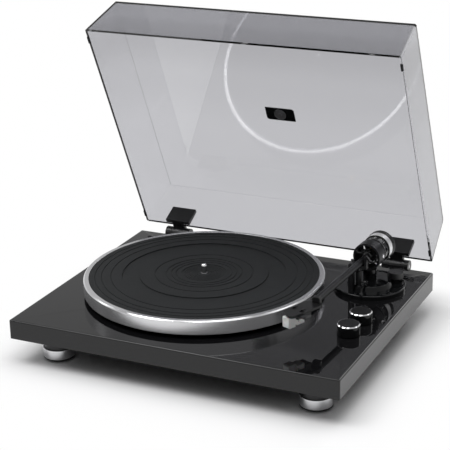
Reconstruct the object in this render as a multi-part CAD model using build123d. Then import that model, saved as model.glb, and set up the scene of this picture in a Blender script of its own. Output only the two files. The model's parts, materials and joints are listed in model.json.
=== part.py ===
from build123d import *
from math import acos, cos, degrees, radians, sin
import os

os.makedirs("parts", exist_ok=True)

# A belt-driven record player with a straight tonearm and a hinged dust cover, in millimetres.
# Everything is laid out from the middle of the plinth's top face: +X right, +Y back, +Z up.
# At the end it all moves so that the origin is on the spindle, level with the record.

# Plinth and feet
PLINTH_W = 422.0
PLINTH_D = 335.0
PLINTH_T = 24.0
PLINTH_CORNER = 2.0
PLINTH_EDGE = 0.8
FOOT_H = 33.0
FOOT_SIDE = 43.0  # foot centre to the plinth's side
FOOT_END = 40.0  # foot centre to the plinth's front and back
FOOT_R = 18.2
FOOT_RING_R = 19.5
FOOT_RING_T = 1.5
FOOT_RING_H = 13.0
FOOT_PAD_R = 16.0
FOOT_PAD_H = 2.0
FOOT_STUD_R = 3.0
FOOT_STUD_L = 12.0

# Bottom cover and its screws
COVER_PLATE_T = 2.0
COVER_PLATE_W = 384.0
COVER_PLATE_FRONT = 90.0
COVER_PLATE_STEP = 75.0
COVER_PLATE_REAR_W = 250.0
COVER_PLATE_BACK = 9.5  # from the plinth's back
SCREW_R = 1.5
SCREW_HEAD_R = 2.9
SCREW_HEAD_H = 1.6
SCREW_L = 10.0
SCREW_INSET = 6.0

# Platter, mat and spindle
PLATTER_X = -35.5
PLATTER_Y = 7.0
PLATTER_R = 150.0
RECORD_H = 22.6  # mat top and platter rim above the plinth
SKIRT_LOW = 5.5
SKIRT_T = 7.0
RIM_BEVEL = 1.6
WEB_T = 5.0
MAT_T = 3.0
MAT_R = 143.0
MAT_GAP = 0.4
MAT_HOLE_R = 4.2
GROOVE_R = (135.5, 127.3, 115.7, 61.4, 47.9, 41.1, 34.5)
GROOVE_W = 1.0
GROOVE_DEPTH = 0.6
LABEL_BAND = (80.0, 102.0)  # shallow recessed band of the mat
LABEL_R = 26.0
DRIVE_RING_R = 90.0
DRIVE_RING_T = 6.0
DRIVE_RING_LOW = 6.5
HUB_R = 20.0
HUB_LOW = 10.0
BOSS_R = 7.0
SHAFT_R = 5.0
COLLAR_R = 12.0
COLLAR_T = 2.0
PIN_R = 3.55
PIN_H = 12.0  # spindle above the record plane
PIN_ROOT_R = 3.85  # spindle inside the mat's hole
PIN_TIP = 1.6
PRESS_GAP = 0.03  # pressed and keyed fits
RUN_GAP = 0.05  # running fits
AIR = 0.3  # between faces that pass each other

# Main bearing
HOUSING_FLANGE_R = 24.0
HOUSING_FLANGE_T = 3.0
HOUSING_R = 12.0
HOUSING_TOP = 7.0
HOUSING_FLOOR = 3.0
BALL_R = 3.0
BUSH_R = 8.0
BUSH_LOW = -14.0

# Motor, pulley and belt
PULLEY_DIST = 118.0
PULLEY_ANGLE = 120.0  # seen from above, from +X
PULLEY_R = 6.5
PULLEY_LOW = 7.0
PULLEY_TOP = 13.8
PULLEY_HUB_R = 4.0
MOTOR_R = 18.0
MOTOR_H = 14.0
MOTOR_SHAFT_R = 1.0
MOTOR_NOSE_R = 4.0
MOTOR_NOSE_H = 3.0
MOTOR_SKIN = 5.0  # plinth left above the motor
POCKET_GAP = 1.5
MOTOR_SCREW_R = 12.5
BELT_T = 0.8
BELT_W = 5.0
BELT_LOW = 8.0

# Control knobs and their switches
SPEED_XY = (177.6, -51.3)
FUNCTION_XY = (178.3, -12.1)
KNOB_R = 13.5
KNOB_H = 13.0
KNOB_LIFT = 0.8
KNOB_RING_W = 1.3
KNOB_RING_H = 2.2
KNOB_SHAFT_R = 3.0
KNOB_MARK_W = 1.4
KNOB_MARK_L = 5.0
KNOB_MARK_DEPTH = 0.4
SWITCH_SIDE = 18.0
SWITCH_H = 10.0
SWITCH_SKIN = 4.0
SWITCH_BUSH_R = 5.0
SWITCH_BUSH_H = 2.5
SWITCH_SHAFT_DEPTH = 6.0

# Electronics and rear terminals
BOARD_X = 30.0
BOARD_BACK = 49.5  # board's middle from the plinth's back
BOARD_W = 96.0
BOARD_D = 34.0
BOARD_T = 1.6
BOARD_DROP = 6.0  # board face below the pocket's roof
BOARD_PILLAR_R = 3.0
BOARD_EDGE = 1.0  # board left outside a pillar
CHIP_W = 14.0
CHIP_D = 10.0
CHIP_H = 2.5
CAN_R = 5.0
CAN_H = 9.0
PANEL_W = 92.0
PANEL_H = 16.0
PANEL_T = 1.6
PANEL_X = 30.0
PANEL_DROP = 12.0  # panel centre below the plinth's top
PANEL_BAY_D = 12.0
JACK_X = (44.0, 60.0)
JACK_R = 4.15
JACK_L = 9.0
JACK_BODY_R = 4.9
JACK_NUT_R = 5.8
JACK_NUT_T = 1.2
JACK_BORE_R = 1.6
JACK_INSIDE = 6.0
SOCKET_X = -4.0
SOCKET_R = 4.5
SOCKET_BORE_R = 2.75
SOCKET_L = 12.0
SOCKET_DEPTH = 9.0
SOCKET_PIN_R = 1.0

# Tonearm base and column
ARM_X = 152.2
ARM_Y = 91.5
ARM_HEADING = 2.7  # tube's lean from -Y towards -X when parked
ARM_H = 44.0  # tube's axis above the plinth
BASE_R = 44.8
BASE_T = 6.0
BASE_LIP = 1.6
BASE_LIP_H = 1.0
TURRET_R = 29.0
TURRET_TOP_R = 26.8
TURRET_H = 6.0
COLUMN_R = 8.5
COLUMN_DROP = 18.6  # column's top below the tube's axis
SLEEVE_R = 12.0
NUT_R = 19.0
NUT_T = 5.0
BEARING_R = 6.5
BEARING_W = 4.0
YAW_SHAFT_R = 3.5
YAW_SHAFT_LOW = -16.0

# Gimbal ring and arm hub. Lengths along the arm run backwards from the pivot.
RING_R = 17.6
RING_T = 2.6
RING_FRONT = -12.3
RING_BACK = 5.5
RING_FOOT_R = 5.4
PIVOT_SCREW_R = 2.4
PIVOT_PIN_R = 1.2
PIVOT_DEPTH = 3.0
PIVOT_HEAD = 0.5
HUB_HALF = 10.0
HUB_BLOCK = 10.0
HUB_FRONT = -9.0
HUB_BACK = 6.0
HUB_COLLAR_R = 6.0
TUBE_R = 4.25
TUBE_WALL = 0.8
TUBE_END = -154.7
STUB_R = 4.0
STUB_END = 37.0

# Counterweight
DIAL_R = 16.8
DIAL_FRONT = 8.6
DIAL_BACK = 20.4
DIAL_RIB_W = 1.2
DIAL_RIB_H = 0.5
WEIGHT_FRONT = 20.7
BAND_BACK = 31.9
WEIGHT_BACK = 38.3
WEIGHT_CORE_R = 16.4
BAND_R = 18.4
RIM_R = 18.2
REAR_RECESS_R = 13.0
REAR_RECESS_D = 4.0
INSERT_R = 6.5
INSERT_FRONT = 9.0
INSERT_BACK = 36.0

# Headshell, cartridge and stylus. Lengths along the head run forwards from the tube's end,
# and drops run down from the tube's axis.
HEAD_OFFSET = 19.5
HEAD_W = 22.0
HEAD_L = 54.0
HEAD_T = 3.0
HEAD_BACK = 2.0
HEAD_DROP = 3.0
HEAD_ROUND = 8.0
HEAD_SLOT_W = 2.4
HEAD_SLOT_L = 9.0
HEAD_SLOT_X = 6.35
COLLAR_BLOCK_W = 9.5
COLLAR_BLOCK_L = 7.0
COLLAR_BLOCK_DROP = 11.0
LIFT_TAB_W = 9.0
LIFT_TAB_L = 12.0
LIFT_TAB_T = 1.2
LIFT_TAB_AT = 40.0
LIFT_TAB_RISE = 4.0
CARTRIDGE_W = 16.0
CARTRIDGE_FRONT = 46.0
CARTRIDGE_L = 27.0
CARTRIDGE_DROP = 16.0
CART_SCREW_R = 1.1
HOLDER_W = 17.0
HOLDER_L = 15.0
HOLDER_H = 5.0
HOLDER_DROP = 17.0
GUARD_W = 17.0
GUARD_L = 6.0
GUARD_H = 13.2
GUARD_DROP = 19.8
GUARD_ROUND = 3.0
GUARD_EYE_R = 1.8
STYLUS_R = 0.5
STYLUS_DROP = 2.0

# Arm rest, lift and anti-skate
REST_AT = 27.8  # rest post, ahead of the pivot
REST_W = 6.0
REST_LEFT = -16.0  # post's left side from the arm's centre line
REST_D = 6.0
REST_WALL = 3.0
REST_SHELF_T = 4.0
REST_RISE = 3.5  # wall top above the tube's axis
LUG_T = 1.0
CLIP_R = 5.2
CLIP_T = 1.3
CLIP_PIN_R = 0.9
CLIP_OPEN = 215.0
LIFT_AT = 22.8  # lift bar's middle line from the pivot
LIFT_TURN = 15.0  # lift cylinder, turned towards the record from the parked tube
LIFT_CYL_R = 3.6
LIFT_CYL_DROP = 15.0  # cylinder's top below the tube's axis
PISTON_R = 2.2
LIFT_BAR_W = 2.8
LIFT_BAR_IN = 54.0  # bar's ends as angles from the parked tube
LIFT_BAR_OUT = 14.0
LIFT_BAR_T = 2.6
LIFT_TRAVEL = 6.0
LEVER_H = 15.0
LEVER_X = 3.9  # lever from the arm's centre line
LEVER_R = 3.4
LEVER_T = 2.6
LEVER_L = 19.5
LEVER_STRIP = 2.2
LEVER_PIN_R = 1.4
LEVER_TAB_W = 6.0
LEVER_TAB_H = 7.0
SKATE_X = 179.2
SKATE_Y = 111.5
SKATE_TOWER_R = 8.8
SKATE_TOWER_H = 5.0
SKATE_R = 10.0
SKATE_TOP = 18.0
SKATE_MARK_EDGE = 1.0  # pointer line from the knob's rim
SKATE_SHAFT_R = 2.0

# Dust cover and hinges, drawn closed and then opened
LID_W = 413.8
LID_D = 331.7
LID_H = 71.3
LID_WALL = 3.0
LID_CORNER = 3.0
LID_SIDE_LEAN = 5.7
LID_FRONT_LEAN = 8.0
LID_REAR_LEAN = 3.6
LID_BACK = 1.0  # cover's rear from the plinth's back
LID_GAP = 2.5  # rim above the plinth when closed
LID_OPEN = 65.0
HINGE_BACK = 10.5  # hinge axis behind the plinth
HINGE_Z = -1.0
HINGE_X = 157.75
HINGE_W = 35.5
HINGE_PLATE_T = 2.0
HINGE_PLATE_H = 21.0
EAR_T = 8.5
KNUCKLE_R = 8.0
HINGE_PIN_R = 2.5
LEAF_T = 4.5
LEAF_BLOCK_H = 26.0
LEAF_BLOCK_T = 5.5
LEAF_GAP = 0.2
BUMPER_SIDE = 1.9  # from the cover's side
BUMPER_IN = 16.0  # from the cover's front and back edges
BUMPER_W = 3.0
BUMPER_L = 10.0
BADGE_W = 40.0
BADGE_D = 20.0
BADGE_T = 1.2
BADGE_ROUND = 7.0
BADGE_DISC_R = 10.0
BADGE_DISC_T = 1.8
BADGE_RING_R = 7.5
BADGE_DIMPLE_R = 3.0

FLOOR_H = -PLINTH_T - FOOT_H
MAT_SEAT = RECORD_H - MAT_T
WEB_LOW = MAT_SEAT - WEB_T
PULLEY_X = PLATTER_X + PULLEY_DIST * cos(radians(PULLEY_ANGLE))
PULLEY_Y = PLATTER_Y + PULLEY_DIST * sin(radians(PULLEY_ANGLE))
TUBE_LOW = ARM_H - TUBE_R
LIFT_X = -LIFT_AT * sin(radians(LIFT_TURN))
LIFT_Y = -LIFT_AT * cos(radians(LIFT_TURN))
COLUMN_TOP = ARM_H - COLUMN_DROP
LIFT_CYL_TOP = ARM_H - LIFT_CYL_DROP
HEAD_TOP = ARM_H - HEAD_DROP
COLLAR_BLOCK_LOW = ARM_H - COLLAR_BLOCK_DROP
CARTRIDGE_LOW = ARM_H - CARTRIDGE_DROP
HOLDER_LOW = ARM_H - HOLDER_DROP
GUARD_LOW = ARM_H - GUARD_DROP
GUARD_TOP = GUARD_LOW + GUARD_H
BUMPER_X = LID_W / 2 - BUMPER_SIDE
BOARD_Y = PLINTH_D / 2 - BOARD_BACK
COVER_PLATE_REAR = PLINTH_D / 2 - COVER_PLATE_BACK
LID_REAR = PLINTH_D / 2 - LID_BACK
HINGE_Y = PLINTH_D / 2 + HINGE_BACK
ARM = Pos(ARM_X, ARM_Y, 0) * Rot(0, 0, -ARM_HEADING)
HEAD = ARM * Pos(0, TUBE_END, 0) * Rot(0, 0, -HEAD_OFFSET)
HINGE = Pos(0, HINGE_Y, HINGE_Z)
OPENING = HINGE * Rot(-LID_OPEN, 0, 0) * HINGE.inverse()
PARTS = {}


def cyl(radius, low, high, x=0.0, y=0.0):
    """Upright cylinder from one height to another."""
    return Pos(x, y, low) * Cylinder(radius, high - low, align=(Align.CENTER, Align.CENTER, Align.MIN))


def tube(outer, inner, low, high, x=0.0, y=0.0):
    """Upright ring with a plain bore."""
    return cyl(outer, low, high, x, y) - cyl(inner, low, high, x, y)


def slab(x0, x1, y0, y1, z0, z1):
    """Box between two corners."""
    return Pos((x0 + x1) / 2, (y0 + y1) / 2, (z0 + z1) / 2) * Box(x1 - x0, y1 - y0, z1 - z0)


def along(radius, front, back, height=ARM_H, x=0.0):
    """Cylinder that lies along Y."""
    turned = Rot(-90, 0, 0) * Cylinder(radius, back - front, align=(Align.CENTER, Align.CENTER, Align.MIN))
    return Pos(x, front, height) * turned


def across(radius, left, right, y=0.0, z=0.0):
    """Cylinder that lies along X."""
    turned = Rot(0, 90, 0) * Cylinder(radius, right - left, align=(Align.CENTER, Align.CENTER, Align.MIN))
    return Pos(left, y, z) * turned


def belt_band(big, small, low, high):
    """Solid between a circle at the platter's axis and one at the pulley, with straight tangents."""
    lean = degrees(acos((big - small) / PULLEY_DIST))
    corners = []
    for centre, radius, sides in ((0, big, (1, -1)), (PULLEY_DIST, small, (-1, 1))):
        for side in sides:
            turn = radians(PULLEY_ANGLE + side * lean)
            reach = radians(PULLEY_ANGLE)
            corners.append((
                PLATTER_X + centre * cos(reach) + radius * cos(turn),
                PLATTER_Y + centre * sin(reach) + radius * sin(turn),
            ))
    flat = make_face(Polyline(*corners, close=True))
    flat += Pos(PLATTER_X, PLATTER_Y) * Circle(big) + Pos(PULLEY_X, PULLEY_Y) * Circle(small)
    return Pos(0, 0, low) * extrude(flat, high - low)


def screw(x, y, face, length=SCREW_L, up=True):
    """Countersunk-free screw whose head stands in a recess below its face."""
    way = 1 if up else -1
    shank = Cylinder(SCREW_R, length, align=(Align.CENTER, Align.CENTER, Align.MIN))
    head = Cylinder(SCREW_HEAD_R, SCREW_HEAD_H, align=(Align.CENTER, Align.CENTER, Align.MIN))
    whole = head + Pos(0, 0, SCREW_HEAD_H) * shank
    return Pos(x, y, face) * (whole if way > 0 else Rot(180, 0, 0) * whole)


def foot_spots():
    """Foot names and centres."""
    x = PLINTH_W / 2 - FOOT_SIDE
    y = PLINTH_D / 2 - FOOT_END
    return {
        "foot_front_left": (-x, -y),
        "foot_front_right": (x, -y),
        "foot_rear_left": (-x, y),
        "foot_rear_right": (x, y),
    }


def cover_plate_outline(grow=0.0):
    """Wide plate under the controls with a narrower part between the rear feet."""
    half, rear_half = COVER_PLATE_W / 2 + grow, COVER_PLATE_REAR_W / 2 + grow
    low, high = -PLINTH_T, -PLINTH_T + COVER_PLATE_T
    wide = slab(-half, half, -COVER_PLATE_FRONT - grow, COVER_PLATE_STEP + grow, low, high)
    return wide + slab(-rear_half, rear_half, 0, COVER_PLATE_REAR + grow, low, high)


def cover_screw_spots():
    """Screws round the bottom cover."""
    x = COVER_PLATE_W / 2 - SCREW_INSET
    rear_x = COVER_PLATE_REAR_W / 2 - SCREW_INSET
    front_y = -COVER_PLATE_FRONT + SCREW_INSET
    step_y = COVER_PLATE_STEP - SCREW_INSET
    rear_y = COVER_PLATE_REAR - SCREW_INSET
    spots = [(side * x, y) for side in (-1, 1) for y in (front_y, step_y)]
    return spots + [(side * rear_x, rear_y) for side in (-1, 1)]


def motor_screw_spots():
    """Two screws that hold the motor, square to the belt."""
    turn = radians(PULLEY_ANGLE + 90)
    return [
        (PULLEY_X + side * MOTOR_SCREW_R * cos(turn), PULLEY_Y + side * MOTOR_SCREW_R * sin(turn))
        for side in (-1, 1)
    ]


def plinth():
    """Gloss board with pockets routed from below for the bearing, motor, switches and board."""
    block = Box(PLINTH_W, PLINTH_D, PLINTH_T, align=(Align.CENTER, Align.CENTER, Align.MAX))
    block = fillet(block.edges().filter_by(Axis.Z), PLINTH_CORNER)
    block = fillet(block.edges().group_by(Axis.Z)[-1], PLINTH_EDGE)
    roof = -MOTOR_SKIN
    block -= cover_plate_outline(PRESS_GAP)
    block -= cyl(HOUSING_R + PRESS_GAP, -PLINTH_T, 0, PLATTER_X, PLATTER_Y)
    block -= cyl(MOTOR_R + POCKET_GAP, -PLINTH_T, roof, PULLEY_X, PULLEY_Y)
    block -= cyl(MOTOR_NOSE_R + PRESS_GAP, roof, 0, PULLEY_X, PULLEY_Y)
    for x, y in motor_screw_spots():
        block -= cyl(SCREW_R + PRESS_GAP, roof, 0, x, y)
    side = SWITCH_SIDE / 2 + PRESS_GAP
    for x, y in (SPEED_XY, FUNCTION_XY):
        block -= slab(x - side, x + side, y - side, y + side, -PLINTH_T, -SWITCH_SKIN)
        block -= cyl(SWITCH_BUSH_R + PRESS_GAP, -SWITCH_SKIN, 0, x, y)
    half_w, half_d = BOARD_W / 2 + PRESS_GAP, BOARD_D / 2 + PRESS_GAP
    block -= slab(BOARD_X - half_w, BOARD_X + half_w, BOARD_Y - half_d, BOARD_Y + half_d, -PLINTH_T, roof)
    panel_half = PANEL_W / 2 + PRESS_GAP
    rear = PLINTH_D / 2
    z0 = -PANEL_DROP - PANEL_H / 2 - PRESS_GAP
    z1 = -PANEL_DROP + PANEL_H / 2 + PRESS_GAP
    block -= slab(PANEL_X - panel_half, PANEL_X + panel_half, rear - PANEL_T, rear, z0, z1)
    bay = panel_half - SCREW_INSET
    block -= slab(PANEL_X - bay, PANEL_X + bay, rear - PANEL_T - PANEL_BAY_D, rear - PANEL_T,
                  z0 + SCREW_R, z1 - SCREW_R)
    block -= cyl(SLEEVE_R + PRESS_GAP, -PLINTH_T, 0, ARM_X, ARM_Y)
    for x, y in foot_spots().values():
        block -= cyl(FOOT_STUD_R + PRESS_GAP, -PLINTH_T, -PLINTH_T + FOOT_STUD_L, x, y)
    for x, y in cover_screw_spots():
        block -= cyl(SCREW_R + PRESS_GAP, -PLINTH_T, -PLINTH_T + SCREW_L + SCREW_HEAD_H, x, y)
    return block


def feet():
    """Turned feet with a bright ring and a rubber pad."""
    rings, pads = [], []
    top, low = -PLINTH_T, FLOOR_H
    waist = FOOT_RING_R - FOOT_RING_T
    for name, (x, y) in foot_spots().items():
        body = cyl(FOOT_R, low + FOOT_PAD_H + FOOT_RING_H, top, x, y)
        body += cyl(waist - PRESS_GAP, low + FOOT_PAD_H, low + FOOT_PAD_H + FOOT_RING_H, x, y)
        PARTS[name] = body + cyl(FOOT_STUD_R, top, top + FOOT_STUD_L, x, y)
        rings.append(tube(FOOT_RING_R, waist, low + FOOT_PAD_H, low + FOOT_PAD_H + FOOT_RING_H, x, y))
        pads.append(cyl(FOOT_PAD_R, low, low + FOOT_PAD_H, x, y))
    PARTS["foot_rings"] = Compound(rings)
    PARTS["foot_pads"] = Compound(pads)


def bottom():
    """Plate that closes the pockets, and its screws."""
    plate = cover_plate_outline()
    head = SCREW_HEAD_R + PRESS_GAP
    plate -= cyl(HOUSING_R + PRESS_GAP, -PLINTH_T, -PLINTH_T + COVER_PLATE_T, PLATTER_X, PLATTER_Y)
    for x, y in cover_screw_spots():
        plate -= cyl(SCREW_R + PRESS_GAP, -PLINTH_T, -PLINTH_T + COVER_PLATE_T, x, y)
        plate -= cyl(head, -PLINTH_T, -PLINTH_T + SCREW_HEAD_H, x, y)
    PARTS["bottom_cover"] = plate
    PARTS["bottom_cover_screws"] = Compound([screw(x, y, -PLINTH_T) for x, y in cover_screw_spots()])


def platter():
    """Cast platter with a skirt, a drive ring for the belt and a hub that sits on the spindle's boss."""
    x, y = PLATTER_X, PLATTER_Y
    body = cyl(PLATTER_R, WEB_LOW, RECORD_H, x, y)
    body = chamfer(body.edges().group_by(Axis.Z)[-1], RIM_BEVEL)
    body -= cyl(MAT_R + MAT_GAP, MAT_SEAT, RECORD_H, x, y)
    body += tube(PLATTER_R, PLATTER_R - SKIRT_T, SKIRT_LOW, WEB_LOW, x, y)
    body += tube(DRIVE_RING_R, DRIVE_RING_R - DRIVE_RING_T, DRIVE_RING_LOW, WEB_LOW, x, y)
    body += cyl(HUB_R, HUB_LOW, WEB_LOW, x, y)
    body -= cyl(BOSS_R + PRESS_GAP, HUB_LOW, MAT_SEAT, x, y)
    PARTS["platter"] = body


def mat():
    """Rubber mat with turned grooves and a shallow band."""
    x, y = PLATTER_X, PLATTER_Y
    body = tube(MAT_R, MAT_HOLE_R, MAT_SEAT, RECORD_H, x, y)
    low = RECORD_H - GROOVE_DEPTH
    for radius in GROOVE_R:
        body -= tube(radius + GROOVE_W / 2, radius - GROOVE_W / 2, low, RECORD_H, x, y)
    body -= tube(LABEL_BAND[1], LABEL_BAND[0], low, RECORD_H, x, y)
    body -= cyl(LABEL_R, low, RECORD_H, x, y)
    PARTS["platter_mat"] = body


def main_bearing():
    """Spindle on a ball in a bushed housing."""
    x, y = PLATTER_X, PLATTER_Y
    spindle = cyl(SHAFT_R, BUSH_LOW + AIR, HUB_LOW - COLLAR_T, x, y)
    spindle += cyl(COLLAR_R, HUB_LOW - COLLAR_T, HUB_LOW, x, y) + cyl(BOSS_R, HUB_LOW, MAT_SEAT, x, y)
    pin = cyl(PIN_R, RECORD_H, RECORD_H + PIN_H, x, y)
    pin = fillet(pin.edges().group_by(Axis.Z)[-1], PIN_TIP)
    spindle += pin + cyl(PIN_ROOT_R, MAT_SEAT, RECORD_H, x, y)
    PARTS["spindle"] = spindle
    floor = BUSH_LOW - 2 * BALL_R
    housing = cyl(HOUSING_R, floor - HOUSING_FLOOR, HOUSING_TOP, x, y)
    housing += cyl(HOUSING_FLANGE_R, 0, HOUSING_FLANGE_T, x, y)
    housing -= cyl(BUSH_R + PRESS_GAP, BUSH_LOW, HOUSING_TOP, x, y)
    PARTS["bearing_housing"] = housing - cyl(BALL_R + RUN_GAP, floor, BUSH_LOW, x, y)
    PARTS["bearing_bush"] = tube(BUSH_R, SHAFT_R + RUN_GAP, BUSH_LOW, HOUSING_TOP, x, y)
    PARTS["thrust_ball"] = Pos(x, y, floor + BALL_R) * Sphere(BALL_R)


def drive():
    """Motor under the plinth, pulley above it and a flat belt round the platter's drive ring."""
    x, y = PULLEY_X, PULLEY_Y
    roof = -MOTOR_SKIN
    motor = cyl(MOTOR_R, roof - MOTOR_H, roof, x, y) + cyl(MOTOR_NOSE_R, roof, roof + MOTOR_NOSE_H, x, y)
    motor -= cyl(MOTOR_SHAFT_R + RUN_GAP, roof - MOTOR_H / 2, roof + MOTOR_NOSE_H, x, y)
    for sx, sy in motor_screw_spots():
        motor -= cyl(SCREW_R + PRESS_GAP, roof - MOTOR_H / 2, roof, sx, sy)
    PARTS["motor"] = motor
    PARTS["motor_screws"] = Compound([
        screw(sx, sy, SCREW_HEAD_H, up=False) for sx, sy in motor_screw_spots()
    ])
    PARTS["motor_shaft"] = cyl(MOTOR_SHAFT_R, roof - MOTOR_H / 2 + AIR, PULLEY_TOP, x, y)
    pulley = cyl(PULLEY_R, PULLEY_LOW, PULLEY_TOP, x, y)
    pulley += cyl(PULLEY_HUB_R, roof + MOTOR_NOSE_H + 2 * AIR, PULLEY_LOW, x, y)
    PARTS["motor_pulley"] = pulley - cyl(MOTOR_SHAFT_R + PRESS_GAP, roof, PULLEY_TOP, x, y)
    low, high = BELT_LOW, BELT_LOW + BELT_W
    outer = belt_band(DRIVE_RING_R + AIR + BELT_T, PULLEY_R + AIR + BELT_T, low, high)
    PARTS["drive_belt"] = outer - belt_band(DRIVE_RING_R + AIR, PULLEY_R + AIR, low, high)


def knob(name, x, y):
    """Round knob with a bright edge ring, a pointer line and a shaft that runs in the switch."""
    top = KNOB_LIFT + KNOB_H
    seat = KNOB_R - KNOB_RING_W
    shaft_low = -SWITCH_SHAFT_DEPTH
    body = cyl(KNOB_R, KNOB_LIFT, top - KNOB_RING_H, x, y) + cyl(seat - PRESS_GAP, KNOB_LIFT, top, x, y)
    body -= cyl(SWITCH_BUSH_R + AIR, KNOB_LIFT, SWITCH_BUSH_H + AIR, x, y)
    body += cyl(KNOB_SHAFT_R, shaft_low, SWITCH_BUSH_H + AIR, x, y)
    mark_y = y + seat - KNOB_MARK_L
    body -= slab(x - KNOB_MARK_W / 2, x + KNOB_MARK_W / 2, mark_y - KNOB_MARK_L / 2,
                 mark_y + KNOB_MARK_L / 2, top - KNOB_MARK_DEPTH, top)
    PARTS[name] = body
    PARTS[name + "_ring"] = tube(KNOB_R, seat, top - KNOB_RING_H, top, x, y)


def switches():
    """Rotary switches under the two knobs."""
    half = SWITCH_SIDE / 2
    bodies = []
    for x, y in (SPEED_XY, FUNCTION_XY):
        body = slab(x - half, x + half, y - half, y + half, -SWITCH_SKIN - SWITCH_H, -SWITCH_SKIN)
        body += cyl(SWITCH_BUSH_R, -SWITCH_SKIN, SWITCH_BUSH_H, x, y)
        bore_low = -SWITCH_SHAFT_DEPTH - AIR
        bodies.append(body - cyl(KNOB_SHAFT_R + RUN_GAP, bore_low, SWITCH_BUSH_H, x, y))
    PARTS["rotary_switches"] = Compound(bodies)


def electronics():
    """Circuit board on pillars, and the rear panel with phono jacks and a power socket."""
    roof = -MOTOR_SKIN
    face = roof - BOARD_DROP
    half_w, half_d = BOARD_W / 2, BOARD_D / 2
    board = slab(BOARD_X - half_w, BOARD_X + half_w, BOARD_Y - half_d, BOARD_Y + half_d, face - BOARD_T, face)
    inset = BOARD_PILLAR_R + BOARD_EDGE
    for sx in (-1, 1):
        for sy in (-1, 1):
            board += cyl(BOARD_PILLAR_R, face, roof, BOARD_X + sx * (half_w - inset),
                         BOARD_Y + sy * (half_d - inset))
    under = face - BOARD_T
    for step in (-1, 0, 1):
        cx = BOARD_X + step * 1.6 * CHIP_W
        board += slab(cx - CHIP_W / 2, cx + CHIP_W / 2, BOARD_Y - CHIP_D / 2, BOARD_Y + CHIP_D / 2,
                      under - CHIP_H, under)
    for side in (-1, 1):
        board += cyl(CAN_R, under - CAN_H, under, BOARD_X + side * (half_w - 3 * CAN_R), BOARD_Y)
    PARTS["control_board"] = board

    rear = PLINTH_D / 2
    inner = rear - PANEL_T
    z = -PANEL_DROP
    panel = slab(PANEL_X - PANEL_W / 2, PANEL_X + PANEL_W / 2, inner, rear, z - PANEL_H / 2, z + PANEL_H / 2)
    jacks = []
    for jack_x in JACK_X:
        panel -= along(JACK_BODY_R + PRESS_GAP, inner, rear, z, jack_x)
        nut_face = rear + JACK_NUT_T
        jack = along(JACK_BODY_R, inner - JACK_INSIDE, rear, z, jack_x)
        jack += along(JACK_NUT_R, rear, nut_face, z, jack_x)
        jack += along(JACK_R, nut_face, nut_face + JACK_L, z, jack_x)
        jacks.append(jack - along(JACK_BORE_R, nut_face, nut_face + JACK_L, z, jack_x))
    panel -= along(SOCKET_R + PRESS_GAP, inner, rear, z, SOCKET_X)
    PARTS["terminal_panel"] = panel
    PARTS["rca_jacks"] = Compound(jacks)
    socket = along(SOCKET_R, rear - SOCKET_L, rear, z, SOCKET_X)
    socket -= along(SOCKET_BORE_R, rear - SOCKET_DEPTH, rear, z, SOCKET_X)
    PARTS["dc_socket"] = socket + along(SOCKET_PIN_R, rear - SOCKET_L, rear - SOCKET_PIN_R, z, SOCKET_X)


def arm_base():
    """Round base with a raised bright lip and the tower of the anti-skate knob."""
    base = cyl(BASE_R, 0, BASE_T, ARM_X, ARM_Y)
    base -= cyl(BASE_R - BASE_LIP, BASE_T - BASE_LIP_H, BASE_T, ARM_X, ARM_Y)
    base -= cyl(SLEEVE_R + PRESS_GAP, 0, BASE_T, ARM_X, ARM_Y)
    deck = BASE_T - BASE_LIP_H
    base += cyl(SKATE_TOWER_R, deck, deck + SKATE_TOWER_H, SKATE_X, SKATE_Y)
    PARTS["arm_base"] = base - cyl(SKATE_SHAFT_R + RUN_GAP, deck, deck + SKATE_TOWER_H, SKATE_X, SKATE_Y)
    knob_low = deck + SKATE_TOWER_H + AIR
    dial = cyl(SKATE_R, knob_low, SKATE_TOP, SKATE_X, SKATE_Y)
    dial += cyl(SKATE_SHAFT_R, deck + AIR, knob_low, SKATE_X, SKATE_Y)
    mark_low = SKATE_Y - SKATE_R + SKATE_MARK_EDGE
    mark = slab(SKATE_X - KNOB_MARK_W / 2, SKATE_X + KNOB_MARK_W / 2, mark_low, mark_low + KNOB_MARK_L,
                SKATE_TOP - KNOB_MARK_DEPTH, SKATE_TOP)
    PARTS["anti_skate_knob"] = dial - mark


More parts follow.
